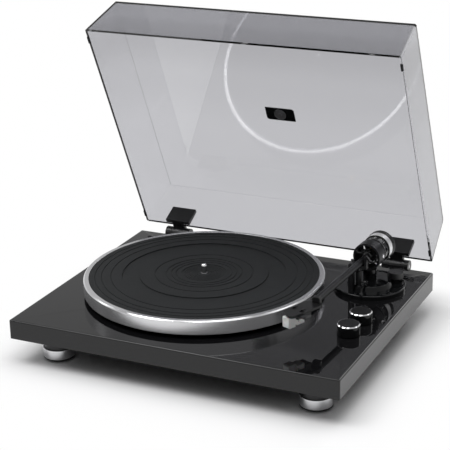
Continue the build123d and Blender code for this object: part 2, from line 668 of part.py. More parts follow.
def arm_column():
    """Turret and column in one turning, with a sleeve through the plinth, its nut and two bearings."""
    x, y = ARM_X, ARM_Y
    deck = BASE_T - BASE_LIP_H
    top = deck + TURRET_H
    turret = Cone(TURRET_R, TURRET_TOP_R, TURRET_H, align=(Align.CENTER, Align.CENTER, Align.MIN))
    turret = Pos(x, y, deck) * turret + cyl(COLUMN_R, top, COLUMN_TOP, x, y)
    turret += cyl(SLEEVE_R, -PLINTH_T - NUT_T, deck, x, y)
    bore = BEARING_R + PRESS_GAP
    turret -= cyl(bore, COLUMN_TOP - BEARING_W, COLUMN_TOP, x, y)
    turret -= cyl(YAW_SHAFT_R + AIR, YAW_SHAFT_LOW - AIR, COLUMN_TOP, x, y)
    turret -= cyl(bore, YAW_SHAFT_LOW - AIR, YAW_SHAFT_LOW + BEARING_W, x, y)
    turret -= cyl(SKATE_R + AIR, deck, top, SKATE_X, SKATE_Y)
    y0, y1 = -REST_AT - REST_D / 2 - PRESS_GAP, -REST_AT + REST_D / 2 + PRESS_GAP
    x0, x1 = REST_LEFT - PRESS_GAP, REST_LEFT + REST_W + PRESS_GAP
    PARTS["arm_turret"] = turret - ARM * slab(x0, x1, y0 - REST_D, y1, deck, top)
    bearings = [
        tube(BEARING_R, YAW_SHAFT_R + RUN_GAP, COLUMN_TOP - BEARING_W, COLUMN_TOP, x, y),
        tube(BEARING_R, YAW_SHAFT_R + RUN_GAP, YAW_SHAFT_LOW, YAW_SHAFT_LOW + BEARING_W, x, y),
    ]
    PARTS["arm_bearings"] = Compound(bearings)
    nut = Pos(x, y, -PLINTH_T - NUT_T) * extrude(RegularPolygon(NUT_R, 6), NUT_T)
    PARTS["arm_base_nut"] = nut - cyl(SLEEVE_R + PRESS_GAP, -PLINTH_T - NUT_T, -PLINTH_T, x, y)


def gimbal():
    """Ring that turns on the column, its two pivot screws and the hub that rocks between them."""
    ring = along(RING_R, RING_FRONT, RING_BACK) - along(RING_R - RING_T, RING_FRONT, RING_BACK)
    foot = cyl(RING_FOOT_R, COLUMN_TOP + AIR, ARM_H - RING_R + RING_T)
    foot += cyl(YAW_SHAFT_R, YAW_SHAFT_LOW, COLUMN_TOP + AIR)
    ring += foot - along(RING_R - RING_T, RING_FRONT, RING_BACK)
    ring -= across(PIVOT_SCREW_R + PRESS_GAP, -RING_R, RING_R, 0, ARM_H)
    PARTS["gimbal_housing"] = ARM * ring
    screws = []
    half = HUB_BLOCK / 2
    hub = slab(-HUB_HALF, HUB_HALF, -half, half, ARM_H - half, ARM_H + half)
    hub += along(HUB_COLLAR_R, HUB_FRONT, HUB_BACK)
    hub += along(STUB_R, HUB_BACK, STUB_END)
    hub -= along(TUBE_R + PRESS_GAP, HUB_FRONT, 0)
    for side in (-1, 1):
        tip, shoulder, head = HUB_HALF - PIVOT_DEPTH, HUB_HALF + AIR, RING_R + PIVOT_HEAD
        body = across(PIVOT_SCREW_R, shoulder, head, 0, ARM_H)
        body += across(PIVOT_PIN_R, tip + AIR, shoulder, 0, ARM_H)
        screws.append(ARM * (body if side > 0 else Rot(0, 0, 180) * body))
        hole = across(PIVOT_PIN_R + RUN_GAP, tip, HUB_HALF, 0, ARM_H)
        hub -= hole if side > 0 else Rot(0, 0, 180) * hole
    PARTS["gimbal_screws"] = Compound(screws)
    PARTS["arm_hub"] = ARM * hub


def arm_tube():
    """Straight tube from the hub to the head."""
    body = along(TUBE_R, TUBE_END, 0) - along(TUBE_R - TUBE_WALL, TUBE_END, 0)
    PARTS["arm_tube"] = ARM * body


def counterweight():
    """Weight and numbered dial on a threaded insert that slides along the stub."""
    insert = along(INSERT_R, INSERT_FRONT, INSERT_BACK) - along(STUB_R + RUN_GAP, INSERT_FRONT, INSERT_BACK)
    PARTS["weight_insert"] = ARM * insert
    bore = INSERT_R + RUN_GAP
    weight = along(WEIGHT_CORE_R - PRESS_GAP, WEIGHT_FRONT, BAND_BACK) + along(RIM_R, BAND_BACK, WEIGHT_BACK)
    weight -= along(bore, WEIGHT_FRONT, WEIGHT_BACK)
    PARTS["counterweight"] = ARM * (weight - along(REAR_RECESS_R, WEIGHT_BACK - REAR_RECESS_D, WEIGHT_BACK))
    band = along(BAND_R, WEIGHT_FRONT, BAND_BACK) - along(WEIGHT_CORE_R, WEIGHT_FRONT, BAND_BACK)
    PARTS["counterweight_band"] = ARM * band
    dial = along(DIAL_R - DIAL_RIB_H, DIAL_FRONT, DIAL_BACK)
    dial += along(DIAL_R, DIAL_BACK - 2 * DIAL_RIB_W, DIAL_BACK)
    dial += along(DIAL_R, DIAL_FRONT, DIAL_FRONT + DIAL_RIB_W)
    PARTS["force_dial"] = ARM * (dial - along(bore, DIAL_FRONT, DIAL_BACK))


def head():
    """Headshell with its collar block, finger lift, cartridge, stylus and white guard."""
    half = HEAD_W / 2
    low = HEAD_TOP - HEAD_T
    plate = slab(-half, half, -HEAD_L, -HEAD_BACK, low, HEAD_TOP)
    plate = fillet(plate.edges().filter_by(Axis.Z).group_by(Axis.Y)[0], HEAD_ROUND)
    plate = chamfer(plate.edges().filter_by(Axis.Z).group_by(Axis.Y)[-1], HEAD_ROUND / 2)
    block = COLLAR_BLOCK_W / 2
    collar = slab(-block, block, TUBE_END - COLLAR_BLOCK_L, TUBE_END, COLLAR_BLOCK_LOW, ARM_H + TUBE_R)
    collar += along(TUBE_R - TUBE_WALL - PRESS_GAP, TUBE_END, TUBE_END + 2 * TUBE_R)
    shell = HEAD * plate + ARM * collar
    slot_y = -CARTRIDGE_FRONT + CARTRIDGE_L / 2
    screw_spots = [HEAD * Pos(side * HEAD_SLOT_X, slot_y, 0) for side in (-1, 1)]
    for spot in screw_spots:
        slot = slab(-HEAD_SLOT_W / 2, HEAD_SLOT_W / 2, -HEAD_SLOT_L / 2, HEAD_SLOT_L / 2, low, HEAD_TOP)
        shell -= spot * slot
    PARTS["headshell"] = shell

    tab_y = -LIFT_TAB_AT
    tab = slab(half, half + LIFT_TAB_L, tab_y - LIFT_TAB_W / 2, tab_y + LIFT_TAB_W / 2, low, low + LIFT_TAB_T)
    tab += slab(half + LIFT_TAB_L - LIFT_TAB_T, half + LIFT_TAB_L, tab_y - LIFT_TAB_W / 2,
                tab_y + LIFT_TAB_W / 2, low, low + LIFT_TAB_RISE)
    PARTS["finger_lift"] = HEAD * tab

    wide = CARTRIDGE_W / 2
    body = slab(-wide, wide, -CARTRIDGE_FRONT, -CARTRIDGE_FRONT + CARTRIDGE_L, CARTRIDGE_LOW, low)
    notch = HOLDER_LOW + HOLDER_H
    body -= slab(-wide, wide, -CARTRIDGE_FRONT, -CARTRIDGE_FRONT + HOLDER_L, CARTRIDGE_LOW, notch)
    studs = [cyl(CART_SCREW_R, low, HEAD_TOP + SCREW_HEAD_H, side * HEAD_SLOT_X, slot_y) for side in (-1, 1)]
    PARTS["cartridge"] = HEAD * (body + studs[0] + studs[1])

    half_holder = HOLDER_W / 2
    holder = slab(-half_holder, half_holder, -CARTRIDGE_FRONT, -CARTRIDGE_FRONT + HOLDER_L, HOLDER_LOW, notch)
    needle = cyl(STYLUS_R, HOLDER_LOW - STYLUS_DROP, HOLDER_LOW, 0, -CARTRIDGE_FRONT + STYLUS_DROP)
    PARTS["stylus_holder"] = HEAD * (holder + needle)
    half_guard = GUARD_W / 2
    guard_back = -CARTRIDGE_FRONT
    guard = slab(-half_guard, half_guard, guard_back - GUARD_L, guard_back, GUARD_LOW, GUARD_TOP)
    guard = fillet(guard.edges().filter_by(Axis.X).group_by(Axis.Z)[0].group_by(Axis.Y)[0], GUARD_ROUND)
    eye_z = (GUARD_LOW + GUARD_TOP) / 2 + GUARD_EYE_R
    guard -= along(GUARD_EYE_R, guard_back - GUARD_L, guard_back, eye_z, -half_guard / 2)
    PARTS["stylus_guard"] = HEAD * guard


def rest():
    """Post that holds the parked arm, open on the record's side, with a clip hinged on its outer wall."""
    deck = BASE_T - BASE_LIP_H
    y0, y1 = -REST_AT - REST_D / 2, -REST_AT + REST_D / 2
    shelf = TUBE_LOW - AIR
    inner = TUBE_R + 2 * AIR
    outer = inner + REST_WALL
    eye = CLIP_PIN_R + RUN_GAP + CLIP_T
    wall_top = ARM_H + REST_RISE
    pin_x, pin_z = (inner + outer) / 2, wall_top + AIR + eye
    post = slab(REST_LEFT, REST_LEFT + REST_W, y0, y1, deck, shelf)
    post += slab(REST_LEFT, outer, y0, y1, shelf - REST_SHELF_T, shelf)
    post += slab(inner, outer, y0, y1, shelf, wall_top)
    for y in (y0, y1 - LUG_T):
        post += slab(inner, outer, y, y + LUG_T, wall_top, pin_z + CLIP_PIN_R)
    PARTS["arm_rest_post"] = ARM * (post + along(CLIP_PIN_R, y0, y1, pin_z, pin_x))

    e0, e1 = y0 + LUG_T + AIR, y1 - LUG_T - AIR
    reach = CLIP_R + CLIP_T
    hook = along(reach, e0, e1) - along(CLIP_R, e0, e1)
    hook -= slab(-reach, reach, e0, e1, ARM_H - reach, ARM_H - CLIP_T)
    hook -= slab(0, reach, e0, e1, ARM_H - reach, ARM_H + CLIP_R - CLIP_T)
    clip = hook + slab(0, pin_x, e0, e1, ARM_H + CLIP_R, ARM_H + reach) + along(eye, e0, e1, pin_z, pin_x)
    clip -= along(CLIP_PIN_R + RUN_GAP, e0, e1, pin_z, pin_x)
    spot = Pos(pin_x, 0, pin_z)
    PARTS["rest_clip"] = ARM * spot * Rot(0, CLIP_OPEN, 0) * spot.inverse() * clip


def lift():
    """Curved lift bar on a piston in its cylinder, and the small lever that drops it."""
    seat = BASE_T - BASE_LIP_H + TURRET_H
    post = cyl(LIFT_CYL_R, seat, LIFT_CYL_TOP, LIFT_X, LIFT_Y)
    post -= cyl(PISTON_R + RUN_GAP, seat + RUN_GAP, LIFT_CYL_TOP, LIFT_X, LIFT_Y)
    lever_end = LEVER_X + LEVER_T / 2
    post += across(LEVER_PIN_R, LIFT_X + LIFT_CYL_R - AIR, lever_end, LIFT_Y, LEVER_H)
    PARTS["lift_cylinder"] = ARM * post
    bar_top = TUBE_LOW - AIR
    bar_low = bar_top - LIFT_BAR_T
    bar = tube(LIFT_AT + LIFT_BAR_W / 2, LIFT_AT - LIFT_BAR_W / 2, bar_low, bar_top)
    reach = 3 * LIFT_AT
    turns = [radians(turn) for turn in (-LIFT_BAR_IN, LIFT_BAR_OUT)]
    ends = [(reach * sin(turn), -reach * cos(turn)) for turn in turns]
    bar &= Pos(0, 0, bar_low) * extrude(make_face(Polyline((0, 0), *ends, close=True)), LIFT_BAR_T)
    PARTS["lift_bar"] = ARM * (bar + cyl(PISTON_R, seat + LIFT_TRAVEL + AIR, bar_low, LIFT_X, LIFT_Y))
    x0 = lever_end - LEVER_T
    strip_top = LEVER_H + LEVER_STRIP / 2
    front = LIFT_Y - LEVER_L
    lever = across(LEVER_R, x0, lever_end, LIFT_Y, LEVER_H)
    lever += slab(x0, lever_end, front, LIFT_Y, LEVER_H - LEVER_STRIP / 2, strip_top)
    tab_x = lever_end - LEVER_TAB_W
    lever += slab(tab_x, lever_end, front - LEVER_STRIP, front, strip_top - LEVER_TAB_H, strip_top)
    PARTS["cue_lever"] = ARM * (lever - across(LEVER_PIN_R + RUN_GAP, x0, lever_end, LIFT_Y, LEVER_H))


def lid_section(height, inset, corner):
    """Outline of the leaning cover at a height above its rim."""
    rise = height / LID_H
    wide = LID_W - 2 * (inset + LID_SIDE_LEAN * rise)
    y0 = LID_REAR - LID_D + inset + LID_FRONT_LEAN * rise
    y1 = LID_REAR - inset - LID_REAR_LEAN * rise
    return Pos(0, (y0 + y1) / 2, LID_GAP + height) * RectangleRounded(wide, y1 - y0, corner)


def lid_hollow():
    """Space inside the closed cover."""
    corner = LID_CORNER - LID_WALL / 2
    return loft([lid_section(0, LID_WALL, corner), lid_section(LID_H - LID_WALL, LID_WALL, corner)])


def cover():
    """Dust cover with hinge leaves, bumpers and a plain badge plate, opened at the end."""
    hollow = lid_hollow()
    shell = loft([lid_section(0, 0, LID_CORNER), lid_section(LID_H, 0, LID_CORNER)]) - hollow
    front = LID_REAR - LID_D
    web_half = HINGE_W / 2 - EAR_T - AIR
    web_low = LID_GAP + LEAF_GAP
    block_y = LID_REAR - LID_WALL - LEAF_BLOCK_T
    for name, x in (("left", -HINGE_X), ("right", HINGE_X)):
        notch = web_half + LEAF_GAP
        notch_top = web_low + LEAF_T + LEAF_GAP
        shell -= slab(x - notch, x + notch, LID_REAR - 2 * LID_WALL, LID_REAR, LID_GAP, notch_top)
        knuckle = across(KNUCKLE_R, x - web_half, x + web_half, HINGE_Y, HINGE_Z)
        web = slab(x - web_half, x + web_half, block_y, HINGE_Y, web_low, web_low + LEAF_T)
        x0, x1 = x - HINGE_W / 2, x + HINGE_W / 2
        block = slab(x0, x1, block_y, LID_REAR, LID_GAP, LID_GAP + LEAF_BLOCK_H) & hollow
        bore = across(HINGE_PIN_R + RUN_GAP, x - web_half, x + web_half, HINGE_Y, HINGE_Z)
        PARTS["hinge_leaf_" + name] = OPENING * (knuckle + web + block - bore)
    PARTS["dust_cover"] = OPENING * shell
    bumpers = []
    for x in (-BUMPER_X, BUMPER_X):
        for y in (front + BUMPER_IN, LID_REAR - BUMPER_IN):
            pad = slab(-BUMPER_W / 2, BUMPER_W / 2, -BUMPER_L / 2, BUMPER_L / 2, LEAF_GAP, LID_GAP)
            bumpers.append(OPENING * Pos(x, y, 0) * pad)
    PARTS["cover_bumpers"] = Compound(bumpers)

    ceiling = LID_GAP + LID_H - LID_WALL
    mid_y = (front + LID_FRONT_LEAN + LID_REAR - LID_REAR_LEAN) / 2
    plate = Box(BADGE_W, BADGE_D, BADGE_T, align=(Align.CENTER, Align.CENTER, Align.MAX))
    corners = plate.edges().filter_by(Axis.Z).sort_by(lambda edge: edge.center().X * edge.center().Y)
    plate = fillet(corners[-2:], BADGE_ROUND)
    disc = Cylinder(BADGE_DISC_R, BADGE_DISC_T, align=(Align.CENTER, Align.CENTER, Align.MAX))
    badge = plate + Pos(0, 0, -BADGE_T) * disc
    face = -BADGE_T - BADGE_DISC_T
    badge -= tube(BADGE_RING_R, BADGE_RING_R - GROOVE_W, face, face + GROOVE_DEPTH)
    badge -= cyl(BADGE_DIMPLE_R, face, face + GROOVE_DEPTH)
    PARTS["cover_plate"] = OPENING * Pos(0, mid_y, ceiling) * badge


def hinge_bases():
    """Hinge brackets on the plinth's back, each with two ears, and the pins through them."""
    rear = PLINTH_D / 2
    pins = []
    for name, x in (("left", -HINGE_X), ("right", HINGE_X)):
        x0, x1 = x - HINGE_W / 2, x + HINGE_W / 2
        base = slab(x0, x1, rear, rear + HINGE_PLATE_T, HINGE_Z - HINGE_PLATE_H, HINGE_Z)
        for ear_x in (x0, x1 - EAR_T):
            base += across(KNUCKLE_R, ear_x, ear_x + EAR_T, HINGE_Y, HINGE_Z)
            base += slab(ear_x, ear_x + EAR_T, rear, HINGE_Y, HINGE_Z - KNUCKLE_R, HINGE_Z)
        PARTS["hinge_base_" + name] = base - across(HINGE_PIN_R + PRESS_GAP, x0, x1, HINGE_Y, HINGE_Z)
        pins.append(across(HINGE_PIN_R, x0, x1, HINGE_Y, HINGE_Z))
    PARTS["hinge_pins"] = Compound(pins)


PARTS["plinth"] = plinth()
feet()
bottom()
platter()
mat()
main_bearing()
drive()
knob("speed_knob", *SPEED_XY)
knob("function_knob", *FUNCTION_XY)
switches()
electronics()
arm_base()
arm_column()
gimbal()
arm_tube()
counterweight()
head()
rest()
lift()
hinge_bases()
cover()

# The origin goes to the spindle's axis, level with the mat, where a record's centre lies.
TO_RECORD = Pos(-PLATTER_X, -PLATTER_Y, -RECORD_H)
for name, shape in PARTS.items():
    export_step(TO_RECORD * shape, f"parts/{name}.step")
print(len(PARTS), "parts")
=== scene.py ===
# %% [markdown]
# # A record player with its cover open
# The object is a belt-driven record player: a gloss black board on four turned feet, a polished platter with a
# rubber mat, a straight tonearm on a round base, two knobs and a smoked clear cover on two hinges.
# A drawn model already fixes every size and everything that moves. This lesson dresses it: each visible part gets
# its edges, its small shapes and its finish. The origin is on the spindle, level with the top of the mat.

# %% Load the frame
import json
from math import cos, pi, radians, sin

import bpy
from mathutils import Matrix, Vector


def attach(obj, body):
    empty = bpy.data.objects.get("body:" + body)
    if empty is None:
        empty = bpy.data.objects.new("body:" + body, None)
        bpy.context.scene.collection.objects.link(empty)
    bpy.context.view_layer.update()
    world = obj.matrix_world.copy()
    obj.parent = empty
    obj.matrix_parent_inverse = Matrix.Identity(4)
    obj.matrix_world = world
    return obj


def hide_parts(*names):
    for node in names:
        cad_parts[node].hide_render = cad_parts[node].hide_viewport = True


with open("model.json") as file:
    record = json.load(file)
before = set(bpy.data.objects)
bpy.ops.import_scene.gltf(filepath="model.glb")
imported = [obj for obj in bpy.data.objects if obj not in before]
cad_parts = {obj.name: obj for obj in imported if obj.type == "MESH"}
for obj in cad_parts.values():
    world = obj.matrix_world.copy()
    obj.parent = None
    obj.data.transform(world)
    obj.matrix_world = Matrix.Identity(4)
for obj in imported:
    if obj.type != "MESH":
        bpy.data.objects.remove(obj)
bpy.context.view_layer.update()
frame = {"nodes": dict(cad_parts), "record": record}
bpy.ops.object.select_all(action="DESELECT")
NODES = frame["nodes"]

# %% [markdown]
# ## Millimetres and a few bench tools
# Sizes on a player like this are read off in millimetres, and Blender works in metres, so one number turns one
# into the other. The two tools below are the ones a workshop would use most: a lathe and a saw. The lathe draws half
# an outline point by point and spins it; the saw starts from a cube at its real size and place.

# %% Bench tools
MM = 0.001


def edit_all(piece):
    """Open a piece in edit mode with everything on it selected."""
    bpy.context.view_layer.objects.active = piece
    piece.select_set(True)
    bpy.ops.object.mode_set(mode="EDIT")
    bpy.ops.mesh.select_mode(type="VERT")
    bpy.ops.mesh.select_all(action="SELECT")


def put_down(piece, name):
    """Close edit mode, name the piece and bring its place into its mesh."""
    if bpy.context.mode == "EDIT_MESH":
        bpy.ops.object.mode_set(mode="OBJECT")
    piece.name = name
    piece.data.name = name
    bpy.ops.object.select_all(action="DESELECT")
    piece.select_set(True)
    bpy.context.view_layer.objects.active = piece
    bpy.ops.object.transform_apply(location=True, rotation=True, scale=True)
    piece.select_set(False)
    return piece


def turned(name, outline, centre=(0.0, 0.0), steps=96):
    """Turn an outline of (radius, height) points in millimetres round an upright axis."""
    x, y = centre
    r, z = outline[0]
    bpy.ops.mesh.primitive_plane_add(size=MM, location=((x + r) * MM, y * MM, z * MM))
    piece = bpy.context.object
    edit_all(piece)
    bpy.ops.mesh.merge(type="CENTER")
    for r1, z1 in outline[1:]:
        bpy.ops.mesh.extrude_region_move(TRANSFORM_OT_translate={"value": ((r1 - r) * MM, 0, (z1 - z) * MM)})
        r, z = r1, z1
    bpy.ops.mesh.select_all(action="SELECT")
    bpy.ops.mesh.spin(steps=steps, angle=2 * pi, center=(x * MM, y * MM, 0), axis=(0, 0, 1))
    bpy.ops.mesh.select_all(action="SELECT")
    bpy.ops.mesh.remove_doubles(threshold=1e-6)
    bpy.ops.mesh.normals_make_consistent(inside=False)
    return put_down(piece, name)


def block(name, x0, x1, y0, y1, z0, z1):
    """Cut a block between two corners, in millimetres."""
    middle = [(a + b) / 2 * MM for a, b in ((x0, x1), (y0, y1), (z0, z1))]
    bpy.ops.mesh.primitive_cube_add(size=1, location=middle)
    piece = bpy.context.object
    piece.scale = [abs(b - a) * MM for a, b in ((x0, x1), (y0, y1), (z0, z1))]
    return put_down(piece, name)


def apply_all(piece):
    """Make every modifier on a piece part of its mesh."""
    bpy.context.view_layer.objects.active = piece
    for modifier in list(piece.modifiers):
        bpy.ops.object.modifier_apply(modifier=modifier.name)


def soften(piece, width=0.3, segments=3, sharp=30.0):
    """Round the sharp edges by a width in millimetres and smooth what is left."""
    bevel = piece.modifiers.new("edge", "BEVEL")
    bevel.width = width * MM
    bevel.segments = segments
    bevel.limit_method = "ANGLE"
    bevel.angle_limit = radians(sharp)
    bevel.use_clamp_overlap = True
    apply_all(piece)
    return smooth(piece, sharp)


def smooth(piece, sharp=30.0):
    """Shade a piece smooth apart from its real corners."""
    piece.select_set(True)
    bpy.context.view_layer.objects.active = piece
    bpy.ops.object.shade_smooth_by_angle(angle=radians(sharp))
    piece.select_set(False)
    return piece


def true_flats(piece):
    """Keep large flat faces flat where they meet rounded edges."""
    step = piece.modifiers.new("flats", "WEIGHTED_NORMAL")
    step.keep_sharp = True
    apply_all(piece)
    return piece


def combine(piece, other, how):
    """Work another piece into this one, and throw the other away."""
    step = piece.modifiers.new("fit", "BOOLEAN")
    step.object = other
    step.operation = how
    step.solver = "EXACT"
    apply_all(piece)
    bpy.data.objects.remove(other)
    return piece


def cut(piece, other):
    """Saw another piece out of this one."""
    return combine(piece, other, "DIFFERENCE")


def weld(piece, other):
    """Weld another piece onto this one."""
    return combine(piece, other, "UNION")


def place(piece, where):
    """Move a piece from the bench to its place on the player."""
    piece.matrix_world = where @ piece.matrix_world
    return put_down(piece, piece.name)


print("bench tools ready")

# %% [markdown]
# ## The camera
# The photograph is taken from the front right, a little above the player, with a long lens, so its lines hardly
# converge. The direction, distance, lens and small shift below were fitted to the corners of the board, the rim of
# the platter and the corners of the cover.

# %% Camera
CAMERA_AT = Vector((742.1, -1486.3, 668.3)) * MM
CAMERA_TURN, CAMERA_RISE, CAMERA_ROLL = radians(25.114), radians(18.997), radians(-1.097)
away = Vector((sin(CAMERA_TURN) * cos(CAMERA_RISE), -cos(CAMERA_TURN) * cos(CAMERA_RISE), sin(CAMERA_RISE)))
right = Vector((cos(CAMERA_TURN), sin(CAMERA_TURN), 0))
up = away.cross(right)
right_rolled = right * cos(CAMERA_ROLL) + up * sin(CAMERA_ROLL)
up_rolled = up * cos(CAMERA_ROLL) - right * sin(CAMERA_ROLL)
bpy.ops.object.camera_add()
camera = bpy.context.object
camera.name = "camera"
axes = Matrix((right_rolled, up_rolled, away)).transposed()
camera.matrix_world = Matrix.Translation(CAMERA_AT) @ axes.to_4x4()
camera.data.sensor_width = 36
camera.data.lens = 114.98
camera.data.shift_x = -0.0242
camera.data.shift_y = -0.0591
bpy.context.scene.camera = camera
bpy.context.scene.view_settings.view_transform = "Standard"
print("camera at", [round(c, 3) for c in camera.location], "lens", camera.data.lens)

# %% [markdown]
# ## Mixing a finish
# Every finish is a Principled shader. What makes it read as lacquer, turned metal or moulded plastic is the fine
# variation on top: a faint change of colour, a change of gloss, and a grain too fine to see as a shape. The helper
# below mixes these from noise that sits in the object's own space, so it stays put when a part moves.

# %% Finish helper
def lathe_grain(nodes, links, point, axis):
    """Stretch a texture's point round an axis, so that noise on it draws fine turning lines."""
    split = nodes.new("ShaderNodeSeparateXYZ")
    links.new(point, split.inputs["Vector"])
    across, along = ("Y", "Z") if axis == "Z" else ("Z", "Y")
    flat = nodes.new("ShaderNodeCombineXYZ")
    links.new(split.outputs["X"], flat.inputs["X"])
    links.new(split.outputs[across], flat.inputs["Y"])
    reach = nodes.new("ShaderNodeVectorMath")
    reach.operation = "LENGTH"
    links.new(flat.outputs["Vector"], reach.inputs[0])
    lines = nodes.new("ShaderNodeCombineXYZ")
    links.new(reach.outputs["Value"], lines.inputs["X"])
    links.new(split.outputs[along], lines.inputs["Y"])
    return lines.outputs["Vector"]


def ramp(nodes, links, value, stops):
    """Turn a value into a grey level through (position, level) stops."""
    band = nodes.new("ShaderNodeValToRGB")
    band.color_ramp.interpolation = "EASE"
    while len(band.color_ramp.elements) < len(stops):
        band.color_ramp.elements.new(0.5)
    for stop, (position, level) in zip(band.color_ramp.elements, stops):
        stop.position = position
        stop.color = (level, level, level, 1)
    links.new(value, band.inputs["Fac"])
    return band.outputs["Color"]


CLOUD_SCALE, GRAIN_HEIGHT = 35, 0.5


def finish(name, colour, rough, vary=0.1, grain=900.0, grain_depth=0.02, gloss_vary=0.1,
           lathe=None, **sockets):
    """Make a finish from a colour and roughness, how much they vary, a grain, and other sockets.

    A lathe, given as (place in mm, lean in degrees, axis), turns the grain into lines round it.
    """
    material = bpy.data.materials.new(name)
    material.use_nodes = True
    nodes, links = material.node_tree.nodes, material.node_tree.links
    shader = nodes["Principled BSDF"]
    for socket, value in sockets.items():
        shader.inputs[socket.replace("_", " ")].default_value = value
    spot = nodes.new("ShaderNodeTexCoord")
    point = spot.outputs["Object"]
    if lathe:
        centre, lean, axis = lathe
        mapping = nodes.new("ShaderNodeMapping")
        mapping.vector_type = "TEXTURE"
        mapping.inputs["Location"].default_value = [c * MM for c in centre]
        mapping.inputs["Rotation"].default_value = (0, 0, radians(lean))
        links.new(point, mapping.inputs["Vector"])
        point = lathe_grain(nodes, links, mapping.outputs["Vector"], axis)
        round_way = nodes.new("ShaderNodeTangent")
        round_way.direction_type = "RADIAL"
        round_way.axis = axis
        links.new(round_way.outputs["Tangent"], shader.inputs["Tangent"])
    cloud = nodes.new("ShaderNodeTexNoise")
    cloud.inputs["Scale"].default_value = CLOUD_SCALE
    cloud.inputs["Detail"].default_value = 5
    links.new(point, cloud.inputs["Vector"])
    tint = nodes.new("ShaderNodeMix")
    tint.data_type = "RGBA"
    tint.inputs["A"].default_value = (*[c * (1 - vary) for c in colour], 1)
    tint.inputs["B"].default_value = (*[min(1, c * (1 + vary)) for c in colour], 1)
    links.new(cloud.outputs["Fac"], tint.inputs["Factor"])
    links.new(tint.outputs["Result"], shader.inputs["Base Color"])
    gloss = nodes.new("ShaderNodeMapRange")
    gloss.inputs["To Min"].default_value = rough * (1 - gloss_vary)
    gloss.inputs["To Max"].default_value = min(1, rough * (1 + gloss_vary))
    links.new(cloud.outputs["Fac"], gloss.inputs["Value"])
    links.new(gloss.outputs["Result"], shader.inputs["Roughness"])
    fine = nodes.new("ShaderNodeTexNoise")
    fine.inputs["Scale"].default_value = grain
    fine.inputs["Detail"].default_value = 2
    links.new(point, fine.inputs["Vector"])
    relief = nodes.new("ShaderNodeBump")
    relief.inputs["Strength"].default_value = grain_depth
    relief.inputs["Distance"].default_value = GRAIN_HEIGHT * MM
    links.new(fine.outputs["Fac"], relief.inputs["Height"])
    links.new(relief.outputs["Normal"], shader.inputs["Normal"])
    return material


def paint_shade_by_height(material, stops):
    """Darken a finish's colour by height as painted shade, through (height in metres, level) stops."""
    nodes, links = material.node_tree.nodes, material.node_tree.links
    colour = nodes["Principled BSDF"].inputs["Base Color"]
    heights = nodes.new("ShaderNodeSeparateXYZ")
    links.new(nodes["Texture Coordinate"].outputs["Object"], heights.inputs["Vector"])
    depth = ramp(nodes, links, heights.outputs["Z"], stops)
    painted_shade = nodes.new("ShaderNodeVectorMath")
    painted_shade.operation = "MULTIPLY"
    links.new(colour.links[0].from_socket, painted_shade.inputs[0])
    links.new(depth, painted_shade.inputs[1])
    links.new(painted_shade.outputs["Vector"], colour)


def dress(piece, material):
    """Give a piece one finish all over."""
    piece.data.materials.clear()
    piece.data.materials.append(material)
    return piece


def fit_piece(piece, node, body, material):
    """Dress a new piece, let it move with its body, and hide the drawn node whose place it takes."""
    dress(true_flats(piece), material)
    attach(piece, body)
    if node:
        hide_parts(node)
    return piece


print("finish helpers ready")

# %% [markdown]
# ## The finishes
# Almost everything on this player is black, and the eye tells the blacks apart by gloss alone: mirror lacquer on the
# board, shiny moulded plastic on the arm base, satin enamel on the hub, and dull rubber on the mat. The bright parts
# are polished aluminium, which keeps a trace of its turning lines, and chrome, which doesn't. The cover is clear
# plastic with smoke in it. Near its front, which stands at the top when the cover is open, a ramp over the height
# darkens its colour: that darker band is painted shade. The band on the weight is brushed round the arm, so the
# arm's place and lean are written down here first.

# %% Finishes
ARM_X, ARM_Y, ARM_Z, ARM_LEAN = 187.7, 84.5, 21.4, -2.7
lacquer = finish("gloss_black_lacquer", (0.005, 0.005, 0.0056), 0.03, 0.15, 60, 0.003, 0.25, IOR=1.46)
shiny_black = finish("shiny_black_plastic", (0.004, 0.0044, 0.005), 0.06, 0.2, 700, 0.01, 0.2,
                     Specular_IOR_Level=0.3)
satin_black = finish("satin_black_plastic", (0.007, 0.007, 0.008), 0.34, 0.15, 1600, 0.06, 0.12)
enamel = finish("satin_black_enamel", (0.007, 0.007, 0.008), 0.24, 0.15, 1400, 0.04, 0.12)
graphite = finish("graphite_anodised", (0.024, 0.024, 0.026), 0.42, 0.12, 1500, 0.04, 0.15, Metallic=0.85)
steel_black = finish("blackened_steel", (0.12, 0.12, 0.125), 0.4, 0.1, 1200, 0.05, 0.15, Metallic=0.6)
casting = finish("black_painted_casting", (0.006, 0.006, 0.0065), 0.36, 0.2, 900, 0.1, 0.15,
                 Specular_IOR_Level=0.32)
polished = finish("polished_aluminium", (0.76, 0.76, 0.775), 0.12, 0.03, 500, 0.006, 0.2, Metallic=1.0)
platter_metal = finish("turned_aluminium", (0.74, 0.74, 0.755), 0.24, 0.03, 900, 0.012, 0.15,
                       lathe=((0, 0, 0), 0, "Z"), Metallic=1.0, Anisotropic=0.75,
                       Anisotropic_Rotation=0.25)
band_metal = finish("brushed_band", (0.93, 0.93, 0.94), 0.42, 0.05, 900, 0.02, 0.15,
                    lathe=((ARM_X, ARM_Y, ARM_Z), ARM_LEAN, "Y"), Metallic=1.0, Anisotropic=0.7,
                    Anisotropic_Rotation=0.25)
chrome = finish("bright_chrome", (0.82, 0.82, 0.83), 0.05, 0.02, 300, 0.003, 0.3, Metallic=1.0)
steel = finish("machined_steel", (0.42, 0.42, 0.43), 0.30, 0.06, 1200, 0.03, 0.2, Metallic=1.0)
brass = finish("turned_brass", (0.62, 0.45, 0.18), 0.26, 0.06, 1200, 0.03, 0.2, Metallic=1.0)
rubber = finish("matt_rubber", (0.010, 0.011, 0.012), 0.7, 0.2, 1500, 0.12, 0.08,
                Specular_IOR_Level=0.3)
